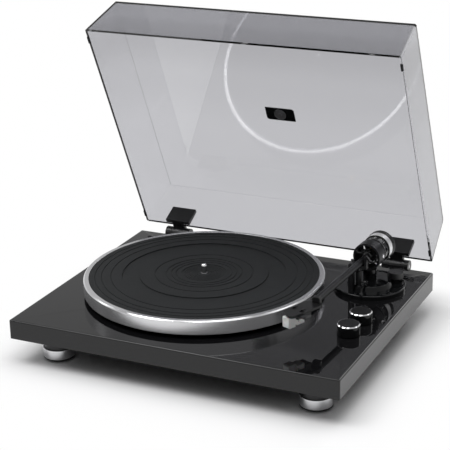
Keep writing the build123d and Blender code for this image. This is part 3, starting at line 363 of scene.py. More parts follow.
board_green = finish("green_circuit_board", (0.02, 0.10, 0.035), 0.35, 0.25, 800, 0.05, 0.15)
milky_white = finish("milky_white_plastic", (0.9, 0.9, 0.89), 0.32, 0.03, 900, 0.03, 0.15,
                     Subsurface_Weight=0.15, Subsurface_Scale=0.002)
smoked_clear = finish("smoked_clear_acrylic", (0.56, 0.56, 0.585), 0.015, 0.01, 12, 0.002, 0.3,
                      Transmission_Weight=1.0, IOR=1.49)
# Painted shade: the cover's colour is darkened in a band near its top, where it stands open.
paint_shade_by_height(smoked_clear, [(0.13, 1), (0.21, 0.93), (0.265, 0.82), (0.28, 0.84), (0.295, 0.98)])
print(len(bpy.data.materials), "materials")

# %% [markdown]
# ## Dressing the drawn parts
# Parts that are already right in shape, most of them inside or underneath, keep their drawn mesh and only get their
# finish. Each one takes the finish of the material slot that the record names for it.

# %% Finishes for drawn nodes
BY_SLOT = {
    "plinth_lacquer": lacquer, "black_plastic": satin_black, "black_metal": enamel,
    "graphite_metal": graphite, "head_metal": casting, "polished_aluminium": polished,
    "chrome": chrome, "steel": steel, "brass": brass, "rubber": rubber, "board_green": board_green,
    "clear_cover": smoked_clear, "white_plastic": milky_white, "dial_plastic": satin_black,
    "cast_weight": casting,
}
slot_of = {row["node"]: row["material_slot"] for row in frame["record"]["subparts"]}
for name, node in NODES.items():
    slots = node.data.materials
    if len(slots) == 0:
        slots.append(None)
    for i in range(len(slots)):
        slots[i] = BY_SLOT[slot_of[name]]
print("dressed", len(NODES), "drawn nodes")

# %% [markdown]
# ## The board
# The board is a lacquered slab with a softly rounded upper edge. Its drawn mesh has every pocket already, so a copy
# of it is joined up and cut to a block that is a hair larger, but more rounded along its top. What both share is the
# board with round edges, and smooth shading turns them into one bright line.

# %% Board
PLINTH_TOP = -22.6
BOARD_SIDES = (-175.5, 246.5, -174.5, 160.5)
BOARD_EDGE, HAIR = 2.0, 0.03


def round_edges(piece, wanted, width, segments=6):
    """Round the edges for which wanted(start, end), in millimetres, is true."""
    bpy.context.view_layer.objects.active = piece
    bpy.ops.object.mode_set(mode="EDIT")
    bpy.ops.mesh.select_mode(type="EDGE")
    bpy.ops.mesh.select_all(action="DESELECT")
    bpy.ops.object.mode_set(mode="OBJECT")
    corners = piece.data.vertices
    for edge in piece.data.edges:
        start, end = (corners[i].co / MM for i in edge.vertices)
        edge.select = wanted(start, end)
    bpy.ops.object.mode_set(mode="EDIT")
    bpy.ops.mesh.bevel(offset=width * MM, segments=segments, affect="EDGES")
    bpy.ops.object.mode_set(mode="OBJECT")
    return piece


def upright(start, end):
    """Whether an edge stands upright."""
    return abs(start.x - end.x) < 0.01 and abs(start.y - end.y) < 0.01


plinth = NODES["plinth"].copy()
plinth.data = NODES["plinth"].data.copy()
bpy.context.collection.objects.link(plinth)
edit_all(plinth)
bpy.ops.mesh.remove_doubles(threshold=1e-6)
put_down(plinth, "lacquered_board")
x0, x1, y0, y1 = BOARD_SIDES
hull = block("hull", x0 - HAIR, x1 + HAIR, y0 - HAIR, y1 + HAIR, -60, PLINTH_TOP + HAIR)
round_edges(hull, upright, BOARD_EDGE + HAIR, 6)
round_edges(hull, lambda a, b: min(a.z, b.z) > PLINTH_TOP, BOARD_EDGE, 6)
combine(plinth, hull, "INTERSECT")
fit_piece(smooth(plinth), "plinth", "base", lacquer)
print("board faces", len(plinth.data.polygons))

# %% [markdown]
# ## Platter, mat and spindle
# A platter is cast and then turned, so half its section says all there is to say about it: a rim with a bevel, a
# recess for the mat, a skirt, and a drive ring underneath that the belt runs on. The same lathe makes the mat, whose
# grooves are dips in its outline, and the spindle, whose tip is rounded so that a record slides on easily.

# %% Platter, mat and spindle
def arc(r, z, size, start, end, steps=5):
    """Points of an arc in a lathe outline, round (r, z), between two angles in degrees."""
    turns = [radians(start + (end - start) * i / steps) for i in range(steps + 1)]
    return [(r + size * cos(turn), z + size * sin(turn)) for turn in turns]


rim = [(143.4, -3), (143.4, 0), (148.4, 0), (150, -1.6), (150, -17.1), (143, -17.1), (143, -8)]
drive_ring = [(90, -8), (90, -16.1), (84, -16.1), (84, -8)]
hub = [(20, -8), (20, -12.6), (7.03, -12.6), (7.03, -3)]
platter = soften(turned("platter", [(7.03, -3), *rim, *drive_ring, *hub], steps=192), 0.3)
fit_piece(platter, "platter", "platter", platter_metal)

MAT_UNDER, MIDDLE_FLOOR, GROOVE = -3, -0.9, 0.7
BAND_MIDDLE, BAND_HALF, BAND_FLOOR = 91, 11, -1.3


def groove(middle, half, top, low):
    """A groove of an outline, by the radius of its middle and its half width."""
    inner, outer = middle - half, middle + half
    return [(inner, top), (inner, low), (outer, low), (outer, top)]


outline = [(4.2, MAT_UNDER), (4.2, MIDDLE_FLOOR)]
for r in (9.5, 12.5, 15.5, 18.5, 21.5, 24.5):
    outline += groove(r, 0.4, MIDDLE_FLOOR, MIDDLE_FLOOR - GROOVE)
outline += [(28, MIDDLE_FLOOR), (28, 0)]
for r in (34.8, 40.8, 47.2, 60.8, BAND_MIDDLE, 115.7, 127.3, 135.5):
    wide = r == BAND_MIDDLE
    outline += groove(r, BAND_HALF, 0, BAND_FLOOR) if wide else groove(r, 0.6, 0, -GROOVE)
outline += [(143, 0), (143, MAT_UNDER), (4.2, MAT_UNDER)]
mat = soften(turned("platter_mat", outline, steps=160), 0.15, 2)
fit_piece(mat, "platter_mat", "platter", rubber)

shaft = [(0, -36.3), (5, -36.3), (5, -14.6), (12, -14.6), (12, -12.6), (7, -12.6), (7, -3)]
peg = [(3.85, -3), (3.85, 0), (3.55, 0), *arc(0.45, 8.9, 3.1, 0, 90, 8), (0, 12)]
spindle = turned("spindle", shaft + peg, steps=48)
fit_piece(smooth(spindle), "spindle", "platter", chrome)
print("platter faces:", len(platter.data.polygons), "mat faces:", len(mat.data.polygons))

# %% [markdown]
# ## Feet
# Each foot is a black plastic turning pressed into a bright ring, on a rubber pad that is a little smaller, so that
# the foot seems to float. A dark flange shows below the ring. The four are alike, so each outline is turned four
# times. Rods and rings come up often on the lathe, so their outlines get a helper each.

# %% Feet
FOOT_SPOTS = {
    "foot_front_left": (-132.5, -134.5), "foot_front_right": (203.5, -134.5),
    "foot_rear_left": (-132.5, 120.5), "foot_rear_right": (203.5, 120.5),
}


def rod(radius, low, high):
    """The outline of a plain rod."""
    return [(0, low), (radius, low), (radius, high), (0, high)]


def sleeve(inner, outer, low, high):
    """The outline of a plain ring or tube."""
    return [(inner, low), (outer, low), (outer, high), (inner, high), (inner, low)]


def join(name, pieces):
    """Make several pieces one."""
    bpy.ops.object.select_all(action="DESELECT")
    for piece in pieces:
        piece.select_set(True)
    bpy.context.view_layer.objects.active = pieces[0]
    bpy.ops.object.join()
    return put_down(pieces[0], name)


FLOOR, FLANGE_LOW, HOOP_LOW, HOOP_TOP = -79.6, -77.6, -76.4, -64.6
flange = [(0, FLANGE_LOW), (19.4, FLANGE_LOW), (19.4, HOOP_LOW), (17.97, HOOP_LOW)]
neck = [(17.97, -65.2), (17.4, HOOP_TOP), (17.4, -48.0), (18.2, -47.2), (18.2, -46.6), (3, -46.6), (3, -34.6),
        (0, -34.6)]
hoops, pads = [], []
for name, spot in FOOT_SPOTS.items():
    foot = soften(turned(name, flange + neck, spot, 64), 0.2, 2)
    fit_piece(foot, name, "base", satin_black)
    hoops.append(soften(turned("hoop", sleeve(18, 19.5, HOOP_LOW, HOOP_TOP), spot, 64), 0.4))
    pads.append(soften(turned("pad", rod(16, FLOOR, FLANGE_LOW), spot, 64), 0.3, 2))
fit_piece(join("foot_rings", hoops), "foot_rings", "base", polished)
fit_piece(join("foot_pads", pads), "foot_pads", "base", rubber)
print("feet at", list(FOOT_SPOTS.values()))

# %% [markdown]
# ## The two knobs
# A knob is a gloss black barrel on a stem. Its top edge carries a thin chrome ring cut at 45 degrees, which catches
# the light as a bright crescent, and inside the ring lies a dull cap, dished a little, with a pointer line. Barrel,
# cap and ring are turned apart, because each has a finish of its own.

# %% Knobs
KNOBS = {"speed_knob": (213.1, -58.3), "function_knob": (213.8, -19.1)}
KNOB_R, CAP_R, KNOB_LOW, KNOB_TOP = 13.5, 12.15, -21.8, -8.8
CAP_SEAT, CAP_DISH = KNOB_TOP - 0.3, KNOB_TOP - 0.12
stem = [(0, -28.6), (3, -28.6), (3, -19.8), (5.3, -19.8), (5.3, KNOB_LOW)]
barrel = [(KNOB_R, KNOB_LOW), (KNOB_R, -10.02), (12.18, -10.02), (12.18, CAP_SEAT), (0, CAP_SEAT)]
cap_side = [(0, CAP_SEAT), (CAP_R, CAP_SEAT), (CAP_R, KNOB_TOP), (11.2, KNOB_TOP), (10.9, CAP_DISH),
            (0, CAP_DISH)]
bevelled = [(12.2, KNOB_TOP), (12.5, KNOB_TOP), (KNOB_R, KNOB_TOP - 1), (KNOB_R, -10), (12.2, -10),
            (12.2, KNOB_TOP)]
for name, (x, y) in KNOBS.items():
    body = soften(turned(name, stem + barrel, (x, y), 96), 0.15, 2)
    fit_piece(body, name, name, shiny_black)
    cap = turned(name + "_cap", cap_side, (x, y), 96)
    pointer = block("pointer", x - 0.7, x + 0.7, y + 4.7, y + 9.7, KNOB_TOP - 0.25, KNOB_TOP + 1)
    cut(cap, pointer)
    fit_piece(smooth(cap), name, name, casting)
    ring = soften(turned(name + "_ring", bevelled, (x, y), 96), 0.08, 2)
    fit_piece(ring, name + "_ring", name, chrome)
print("knobs:", list(KNOBS))

# %% [markdown]
# ## Arm base, turret and anti-skate knob
# Three round steps carry the tonearm: a broad gloss disc with a raised lip, a low turret that tapers a little, and
# a column. The lip is only a millimetre high, but its rounded edge draws the bright line that makes the disc read
# as gloss. A short tower on the disc carries the anti-skate knob, and the turret is scooped out to clear it. From
# here on pieces stand turned and moved, so a turn and a move get a short name each.

# %% Arm base
def swing(degrees, axis):
    """A turn about one axis."""
    return Matrix.Rotation(radians(degrees), 4, axis)


def shift(x, y, z):
    """A move in millimetres."""
    return Matrix.Translation(Vector((x, y, z)) * MM)


SKATE_X, SKATE_Y = SKATE = (214.7, 104.5)
DECK, TOWER_TOP, TURRET_TOP, BORE_R = -17.6, -12.6, -11.6, 12.03
lip = [*arc(43.3, -18.1, 1.5, 0, 90, 6), (42.9, -16.75), (42.6, DECK)]
disc = [(BORE_R, PLINTH_TOP), (44.8, PLINTH_TOP), *lip, (BORE_R, DECK), (BORE_R, PLINTH_TOP)]
base = smooth(turned("arm_base", disc, (ARM_X, ARM_Y), 160))
tower = turned("skate_tower", sleeve(2.05, 8.8, DECK, TOWER_TOP), SKATE, 64)
fit_piece(join("arm_base", [base, soften(tower, 0.3)]), "arm_base", "base", shiny_black)

turret_edge = arc(25.6, TURRET_TOP - 1.2, 1.2, 0, 90)
turret_side = [(12, DECK), (29, DECK), *turret_edge, (8.5, TURRET_TOP), (8.5, 2.8)]
bearing_seats = [(6.53, 2.8), (6.53, -1.2), (3.8, -1.2), (3.8, -34.6), (6.53, -34.6), (6.53, -38.9),
                 (0, -38.9)]
turret = turned("arm_turret", [(0, -51.6), (12, -51.6), *turret_side, *bearing_seats], (ARM_X, ARM_Y), 128)
scoop = turned("scoop", rod(10.3, DECK - 1, 0), SKATE, 64)
cut(turret, scoop)
ARM = shift(ARM_X, ARM_Y, ARM_Z) @ swing(ARM_LEAN, "Z")
slot_cut = block("slot_cut", -16.03, -9.97, -36.83, -24.77, DECK - ARM_Z - 1, TURRET_TOP - ARM_Z + 1)
cut(turret, place(slot_cut, ARM))
fit_piece(soften(turret, 0.5), "arm_turret", "base", shiny_black)

stem = [(0, -17.3), (2, -17.3), (2, -12.3), (10, -12.3), (10, -5.4)]
crown = [*arc(9.2, -5.4, 0.8, 0, 90), (8.6, -4.85), (0, -4.85)]
skate_knob = turned("anti_skate_knob", stem + crown, SKATE, 72)
mark = block("mark", SKATE_X - 0.7, SKATE_X + 0.7, SKATE_Y - 9, SKATE_Y - 4, -5.1, -4)
cut(skate_knob, mark)
fit_piece(smooth(skate_knob), "anti_skate_knob", "anti_skate_knob", satin_black)
print("arm pivot at", (ARM_X, ARM_Y, ARM_Z))

# %% [markdown]
# ## Gimbal, hub and tube
# From here on the work happens in the arm's own frame: the pivot is zero, lengths run backwards along the arm, and
# one matrix puts each finished piece in place. The arm's round parts are turned upright on the lathe and then laid
# along the arm. The ring is cut through at its sides for two pointed pivot screws, and the hub rocks between them.
# Two small set screws with round ends stick out inside the ring.

# %% Gimbal, hub and tube
LYING, SIDEWAYS = swing(-90, "X"), swing(90, "Y")
LENGTHWAYS = ARM @ LYING
TUBE_END = -154.7


def on_arm(name, outline, steps=96):
    """Turn an outline of (radius, length behind the pivot) points and lay it along the arm."""
    return place(turned(name, outline, steps=steps), LENGTHWAYS)


def laid(name, outline, x=0.0, z=0.0, steps=48):
    """Turn an outline of (radius, length) points and lay it lengthways at a place on the bench."""
    return place(turned(name, outline, (x, -z), steps), LYING)


ring = on_arm("gimbal_housing", sleeve(15, 17.6, -12.3, 5.5), 128)
yaw_shaft = [(0, -60), (3.5, -60), (3.5, -18.3), (5.4, -18.3), (5.4, -15.3), (0, -15.3)]
weld(ring, place(turned("yaw_shaft", yaw_shaft, steps=48), ARM))
for side in (-1, 1):
    bore = turned("bore", rod(2.43, 12, 20), steps=32)
    cut(ring, place(bore, ARM @ swing(90 * side, "Y")))
fit_piece(soften(ring, 0.35), "gimbal_housing", "arm_yoke", graphite)

screws = []
for side in (-1, 1):
    point = [(0, 7.3), (0.3, 7.3), (1.2, 8.4), (1.2, 10.3), (2.4, 10.3), (2.4, 17.7), (2.0, 18.1), (0, 18.1)]
    screw = turned("pivot_screw", point, steps=32)
    cut(screw, block("slot", -0.3, 0.3, -3, 3, 17.5, 19))
    screws.append(place(soften(screw, 0.08, 2), ARM @ swing(90 * side, "Y")))
stub = [(0, 9.0), *arc(0, 10.3, 1.3, -90, 0)[1:], (1.3, 15.6), (0, 15.6)]
for lean in (112, -34):
    set_screw = place(turned("set_screw", stub, steps=32), swing(90 - lean, "Y"))
    screws.append(place(smooth(set_screw), ARM @ shift(0, -8, 0)))
fit_piece(join("gimbal_screws", screws), "gimbal_screws", "arm_yoke", chrome)

hub_block = block("arm_hub", -10, 10, -5, 5, -5, 5)
collar = [(0, -9), (6, -9), (6, -6.4), (5.3, -6), (5.3, 5), (4, 6), (4, 37), (0, 37)]
weld(hub_block, laid("collar", collar, steps=64))
cut(hub_block, laid("tube_seat", rod(4.28, -10, 0), steps=64))
for side in (-1, 1):
    cup = turned("cup", rod(1.3, 7, 11), steps=24)
    cut(hub_block, place(cup, swing(90 * side, "Y")))
fit_piece(place(soften(hub_block, 0.4), ARM), "arm_hub", "tonearm", enamel)

tube = on_arm("arm_tube", sleeve(3.45, 4.25, TUBE_END, 0), 64)
fit_piece(soften(tube, 0.1, 2), "arm_tube", "tonearm", graphite)
print("ring, hub and tube on the arm")

# %% [markdown]
# ## Counterweight and its numbered dial
# The weight screws along a brass insert. In front of it a numbered ring turns by itself, so that its zero can be
# set where the arm balances. The ring has a knurled edge at its front for the thumb, then a smooth drum for white
# numbers and a small lip; the weight is a bright band in front of a black painted casting with a hollow back. The
# knurl is a star with many points, drawn out along the arm.

# %% Counterweight
EYE_R, BAND_FRONT, BAND_BACK = 6.55, 21.8, 30.8
band = on_arm("counterweight_band", sleeve(16.4, 17.8, BAND_FRONT, BAND_BACK), 128)
fit_piece(soften(band, 0.3), "counterweight_band", "counterweight", band_metal)
core = [(EYE_R, 20.7), (17.6, 20.7), (17.6, BAND_FRONT), (16.37, BAND_FRONT), (16.37, BAND_BACK),
        (18.4, BAND_BACK), (18.4, 38.3), (13, 38.3), (13, 34.3), (EYE_R, 34.3), (EYE_R, 20.7)]
weight = on_arm("counterweight", core, 128)
fit_piece(soften(weight, 0.5), "counterweight", "counterweight", casting)

DIAL_FACE, LIP_R, TEETH = 16.3, 16.8, 90
drum = [(EYE_R, 11.0), (DIAL_FACE, 11.0), (DIAL_FACE, 19.4), (LIP_R, 19.4), (LIP_R, 20.4), (EYE_R, 20.4),
        (EYE_R, 11.0)]
dial = soften(on_arm("force_dial", drum, 128), 0.15, 2)
fit_piece(dial, "force_dial", "force_dial", shiny_black)
bpy.ops.mesh.primitive_circle_add(vertices=2 * TEETH, radius=LIP_R * MM, fill_type="NGON",
                                  location=(0, 0, 8.6 * MM))
knurl = bpy.context.object
for i, corner in enumerate(knurl.data.vertices):
    if i % 2:
        corner.co *= DIAL_FACE / LIP_R
edit_all(knurl)
bpy.ops.mesh.extrude_region_move(TRANSFORM_OT_translate={"value": (0, 0, 2.4 * MM)})
bpy.ops.mesh.select_all(action="SELECT")
bpy.ops.mesh.normals_make_consistent(inside=False)
put_down(knurl, "force_dial_knurl")
cut(knurl, turned("eye", rod(EYE_R, 7, 13), steps=48))
fit_piece(place(smooth(knurl), LENGTHWAYS), "force_dial", "force_dial", satin_black)
print("dial with", TEETH, "teeth and weight on the stub")

# %% [markdown]
# ## Headshell, cartridge and stylus
# The head turns inwards by the arm's offset angle, so it gets a frame of its own at the tube's end. It is a flat
# plate with a slanting front and one round corner, two slots for the cartridge screws, a collar that grips the tube,
# and a finger lift. Under it hang the black cartridge, its white stylus holder with a notch in its side, and the
# white guard, a thin open box with an oval eye, that covers the needle.

# %% Headshell and cartridge
HEAD_TURN, HEAD_TIP, SCREW_X, CARTRIDGE_TIP = -19.5, -54, 6.35, -40.9
HEAD = ARM @ shift(0, TUBE_END, 0) @ swing(HEAD_TURN, "Z")
shell = block("headshell", -11, 11, HEAD_TIP, -2, -6, -3)
round_edges(shell, lambda a, b: upright(a, b) and a.y < -50 and a.x > 0, 5, 10)
round_edges(shell, lambda a, b: upright(a, b) and a.y > -3, 4, 1)
slant = place(block("slant", -40, 40, -20, 0, -10, 0), swing(-21.6, "Z"))
cut(shell, place(slant, shift(4.9, HEAD_TIP, 0)))
for side in (-1, 1):
    long_slot = block("long_slot", side * SCREW_X - 1.2, side * SCREW_X + 1.2, -37, -28, -8, 0)
    cut(shell, round_edges(long_slot, upright, 1.15, 5))
place(soften(shell, 0.5, 3, 50), HEAD)
grip = block("grip", -4.75, 4.75, TUBE_END - 7, TUBE_END, -11, 4.25)
round_edges(grip, lambda a, b: min(a.z, b.z) > 4 and abs(a.x - b.x) < 0.01, 3.2, 8)
plug = laid("plug", rod(3.42, -156, -146.2))
place(soften(weld(grip, plug), 0.35), ARM)
fit_piece(join("headshell", [shell, grip]), "headshell", "tonearm", casting)

tab = block("finger_lift", 10.6, 23, -44.5, -35.5, -6, -4.8)
weld(tab, block("tip", 21.8, 23, -44.5, -35.5, -6, -2))
round_edges(tab, lambda a, b: min(a.x, b.x) > 22.9 and max(a.z, b.z) < -5.9, 1.0, 5)
fit_piece(place(soften(tab, 0.3, 3), HEAD), "finger_lift", "tonearm", enamel)

body = block("cartridge", -7, 7, CARTRIDGE_TIP, -19, -16, -6.02)
cut(body, block("notch", -9, 9, -42, -28.9, -17, -12.1))
soften(body, 0.4)
pickup = [body]
shank_and_head = [(0, -7), (1.1, -7), (1.1, -3), (2, -3), (2, -1.4), (0, -1.4)]
for side in (-1, 1):
    x, y = side * SCREW_X, -32.5
    screw = turned("head_screw", shank_and_head, (x, y), 32)
    cut(screw, block("slot", x - 3, x + 3, y - 0.25, y + 0.25, -2, 0))
    pickup.append(soften(screw, 0.15, 2))
fit_piece(place(join("cartridge", pickup), HEAD), "cartridge", "tonearm", satin_black)

holder = block("stylus_holder", -6, 6, CARTRIDGE_TIP, -29, -18.6, -12.2)
cut(holder, block("notch", 3, 7, -39.6, -37.0, -15.2, -11))
soften(holder, 0.3)
needle = turned("needle", [(0, 40.5), (0.35, 40.5), (0.35, 44.6), (0, 45.0)], steps=16)
needle = smooth(place(needle, shift(-1.25, 0, -17.4) @ swing(90, "X")))
holder = place(join("stylus_holder", [holder, needle]), HEAD)
fit_piece(holder, "stylus_holder", "tonearm", milky_white)

guard = block("stylus_guard", -6.3, 3.8, -52, -41, -21.1, -7.8)
round_edges(guard, lambda a, b: max(a.z, b.z) < -21 and max(a.y, b.y) < -51, 2, 6)
cut(guard, block("inside", -5.1, 2.6, -50.6, -40, -19.8, -9))
bpy.ops.mesh.primitive_cylinder_add(vertices=48, radius=2 * MM, depth=2 * MM,
                                    rotation=(radians(90), 0, 0))
eye = bpy.context.object
eye.scale = (1, 1.6, 1)
eye.location = Vector((-1.2, -52.4, -12.2)) * MM
cut(guard, put_down(eye, "eye"))
fit_piece(place(soften(guard, 0.35, 3), HEAD), "stylus_guard", "tonearm", milky_white)
print("head turned in by", -HEAD_TURN, "degrees")

# %% [markdown]
# ## Arm rest, lift and cue lever
# Ahead of the pivot stand three small things: a post whose shelf and wall hold the parked tube, a curved bar on a
# piston that lowers the arm gently, and the lever that works it. The post's clip is drawn closed over the tube and
# then swung open about its pin. The bar is a slice of a ring round the pivot, so the tube rests on it at any swing.

# %% Rest and lift
SHELF, REST_FRONT, REST_BACK = -4.55, -30.8, -24.8
CLIP_FRONT, CLIP_BACK, PIN_X, PIN_Z = -29.5, -26.1, 6.35, 6.05
post = block("arm_rest_post", -16, -10, REST_FRONT, REST_BACK, -39, SHELF)
weld(post, block("shelf", -16, 7.85, REST_FRONT, REST_BACK, SHELF - 4, SHELF))
weld(post, block("wall", 4.85, 7.85, REST_FRONT, REST_BACK, SHELF - 1, 3.5))
for y in (REST_FRONT, REST_BACK - 1):
    lug = block("lug", 4.85, 7.85, y, y + 1, 3, 7)
    round_edges(lug, lambda a, b: min(a.z, b.z) > 6.9 and abs(a.x - b.x) < 0.01, 1.4, 6)
    weld(post, lug)
weld(post, laid("pin", rod(0.9, REST_FRONT, REST_BACK), PIN_X, PIN_Z, 24))
fit_piece(place(soften(post, 0.3, 2, 50), ARM), "arm_rest_post", "base", satin_black)

clip = laid("rest_clip", sleeve(5.2, 6.5, CLIP_FRONT, CLIP_BACK), steps=64)
cut(clip, block("open_side", -9, 9, -31, -25, -9, -1.3))
cut(clip, block("open_top", 0, 9, -31, -25, -9, 3.9))
weld(clip, block("bridge", -0.2, PIN_X, CLIP_FRONT, CLIP_BACK, 5.2, 6.5))
weld(clip, laid("knuckle", rod(2.25, CLIP_FRONT, CLIP_BACK), PIN_X, PIN_Z, 32))
cut(clip, laid("pin_way", rod(0.95, -31, -25), PIN_X, PIN_Z, 24))
clip_pin = shift(PIN_X, 0, PIN_Z)
clip = place(soften(clip, 0.2, 2), ARM @ clip_pin @ swing(215, "Y") @ clip_pin.inverted())
fit_piece(clip, "rest_clip", "rest_clip", satin_black)

LIFT_X, LIFT_Y, LIFT_SEAT, BAR_LOW, BAR_TOP = -5.90, -22.02, TURRET_TOP - ARM_Z, -7.15, -4.55
bore_low = LIFT_SEAT + 0.05
well = [(0, LIFT_SEAT), (3.6, LIFT_SEAT), (3.6, -15), (2.25, -15), (2.25, bore_low), (0, bore_low)]
cylinder = turned("lift_cylinder", well, (LIFT_X, LIFT_Y), 48)
lever_axis = shift(0, LIFT_Y, -29)
axle = place(turned("axle", rod(1.4, -2.6, 5.2), steps=24), SIDEWAYS)
weld(cylinder, place(axle, lever_axis))
fit_piece(place(soften(cylinder, 0.2, 2), ARM), "lift_cylinder", "base", satin_black)

bar = turned("lift_bar", sleeve(21.4, 24.2, BAR_LOW, BAR_TOP), steps=128)
for side, turn in ((1, 14), (-1, -54)):
    beyond = block("beyond", min(0, side * 60), max(0, side * 60), -60, 60, -10, 0)
    cut(bar, place(beyond, swing(turn, "Z")))
piston = turned("piston", rod(2.2, LIFT_SEAT + 6.3, -7), (LIFT_X, LIFT_Y), 32)
weld(bar, piston)
fit_piece(place(soften(bar, 0.4, 3), ARM), "lift_bar", "lift_bar", enamel)

lever = place(turned("cue_lever", rod(3.4, 2.6, 5.2), steps=48), SIDEWAYS)
place(lever, lever_axis)
tip_y = LIFT_Y - 19.5
weld(lever, block("strip", 2.6, 5.2, tip_y, LIFT_Y, -30.1, -27.9))
weld(lever, block("thumb", -0.8, 5.2, tip_y - 2.2, tip_y, -34.9, -27.9))
way = place(turned("way", rod(1.45, 0, 7), steps=24), SIDEWAYS)
cut(lever, place(way, lever_axis))
fit_piece(place(soften(lever, 0.35, 3), ARM), "cue_lever", "cue_lever", enamel)
print("rest post, clip, lift and lever in place")

# %% [markdown]
# ## White numbers on the dial
# The dial shows grams from 0 to 3, twice round. Each numeral is a line of text turned into a thin solid and laid on
# the drum. In front of the numerals run forty strokes, and every fifth, the one that leads to a numeral, is longer.

# %% Dial numbers
paint_white = finish("white_paint", (0.72, 0.72, 0.71), 0.45, 0.06, 900, 0.03, 0.1)
NUMBERS = ["0", "1", "2", "3"] * 2
STROKES, STROKES_A_NUMBER = 40, 5
marks = []
for i in range(STROKES):
    end = 12.6 if i % STROKES_A_NUMBER else 13.6
    stroke = block("stroke", -0.18, 0.18, 11.4, end, DIAL_FACE - 0.1, DIAL_FACE + 0.06)
    place(stroke, Matrix.Rotation(2 * pi * i / STROKES, 4, "Y"))
    marks.append(stroke)
for i, number in enumerate(NUMBERS):
    bpy.ops.object.text_add(location=(0, 0, 0))
    numeral = bpy.context.object
    numeral.data.body = number
    numeral.data.size = 5.6 * MM
    numeral.data.align_x = "CENTER"
    numeral.data.extrude = 0.08 * MM
    bpy.ops.object.convert(target="MESH")
    turn = Matrix.Rotation(2 * pi * i / len(NUMBERS), 4, "Y")
    place(numeral, turn @ shift(0, 14.6, DIAL_FACE))
    marks.append(numeral)
fit_piece(place(join("dial_numbers", marks), ARM), None, "force_dial", paint_white)
print(len(NUMBERS), "numerals and", STROKES, "strokes")

# %% [markdown]
# ## Dust cover
# The cover is one moulding of clear plastic, 3 mm thick, whose sides lean in a little so that it leaves its mould.
# It is drawn closed, as a block narrowed at the top, rounded, hollowed from below, and only then swung open by 65
# degrees about the hinges. The same swing carries its bumpers, its small plate and the two hinge leaves.

# %% Dust cover
MIDDLE_X = 35.5
HINGE_Y, HINGE_Z = 171.0, PLINTH_TOP - 1.0
LID_W, LID_D, LID_H, LID_WALL = 413.8, 331.7, 71.3, 3.0
LID_REAR, LID_LOW = 159.5, PLINTH_TOP + 2.5
SIDE_LEAN, FRONT_LEAN, REAR_LEAN = 5.7, 8.0, 3.6
HINGE = shift(0, HINGE_Y, HINGE_Z)
OPEN = HINGE @ swing(-65, "X") @ HINGE.inverted()


def leaning_block(name, inset, low, high, rounding):
    """A block the cover's size less an inset, narrowed upwards by the cover's leans and rounded."""
    x0, x1 = MIDDLE_X - LID_W / 2 + inset, MIDDLE_X + LID_W / 2 - inset
    y0, y1 = LID_REAR - LID_D + inset, LID_REAR - inset
    piece = block(name, x0, x1, y0, y1, LID_LOW + low, LID_LOW + high)
    for corner in piece.data.vertices:
        rise = (corner.co.z / MM - LID_LOW) / LID_H
        corner.co.x += (SIDE_LEAN if corner.co.x < MIDDLE_X * MM else -SIDE_LEAN) * rise * MM
        corner.co.y += (FRONT_LEAN if corner.co.y < (y0 + y1) / 2 * MM else -REAR_LEAN) * rise * MM
    round_edges(piece, lambda a, b: abs(a.z - b.z) > 10, rounding, 5)
    top, rear = LID_LOW + high - 0.1, 100
    round_edges(piece, lambda a, b: min(a.z, b.z) > top and min(a.y, b.y) > rear, 1.4, 4)
    return round_edges(piece, lambda a, b: min(a.z, b.z) > top and min(a.y, b.y) < rear, 0.5, 2)


lid = leaning_block("dust_cover", 0, 0, LID_H, 2.6)
cut(lid, leaning_block("hollow", LID_WALL, -5, LID_H - LID_WALL, 1.2))
HINGES = {"left": MIDDLE_X - 157.75, "right": MIDDLE_X + 157.75}
for x in HINGES.values():
    gap = block("gap", x - 9.15, x + 9.15, LID_REAR - 6, LID_REAR + 1, LID_LOW - 1, PLINTH_TOP + 7.4)
    cut(lid, gap)
fit_piece(place(soften(lid, 0.2, 2, 60), OPEN), "dust_cover", "cover", smoked_clear)
print("cover faces", len(lid.data.polygons))

# %% [markdown]
# ## Hinges, bumpers and plate
# Each hinge is a bracket with two ears on the board's back and a leaf on the cover, whose knuckle turns between the
# ears on a steel pin. The leaf reaches through a gap in the cover's rear wall and ends in a block inside it.

# %% Hinges and small cover parts
def barrel_across(name, radius, x0, x1):
    """A barrel across the player on the hinge axis."""
    return place(turned(name, rod(radius, x0, x1), steps=48), HINGE @ SIDEWAYS)


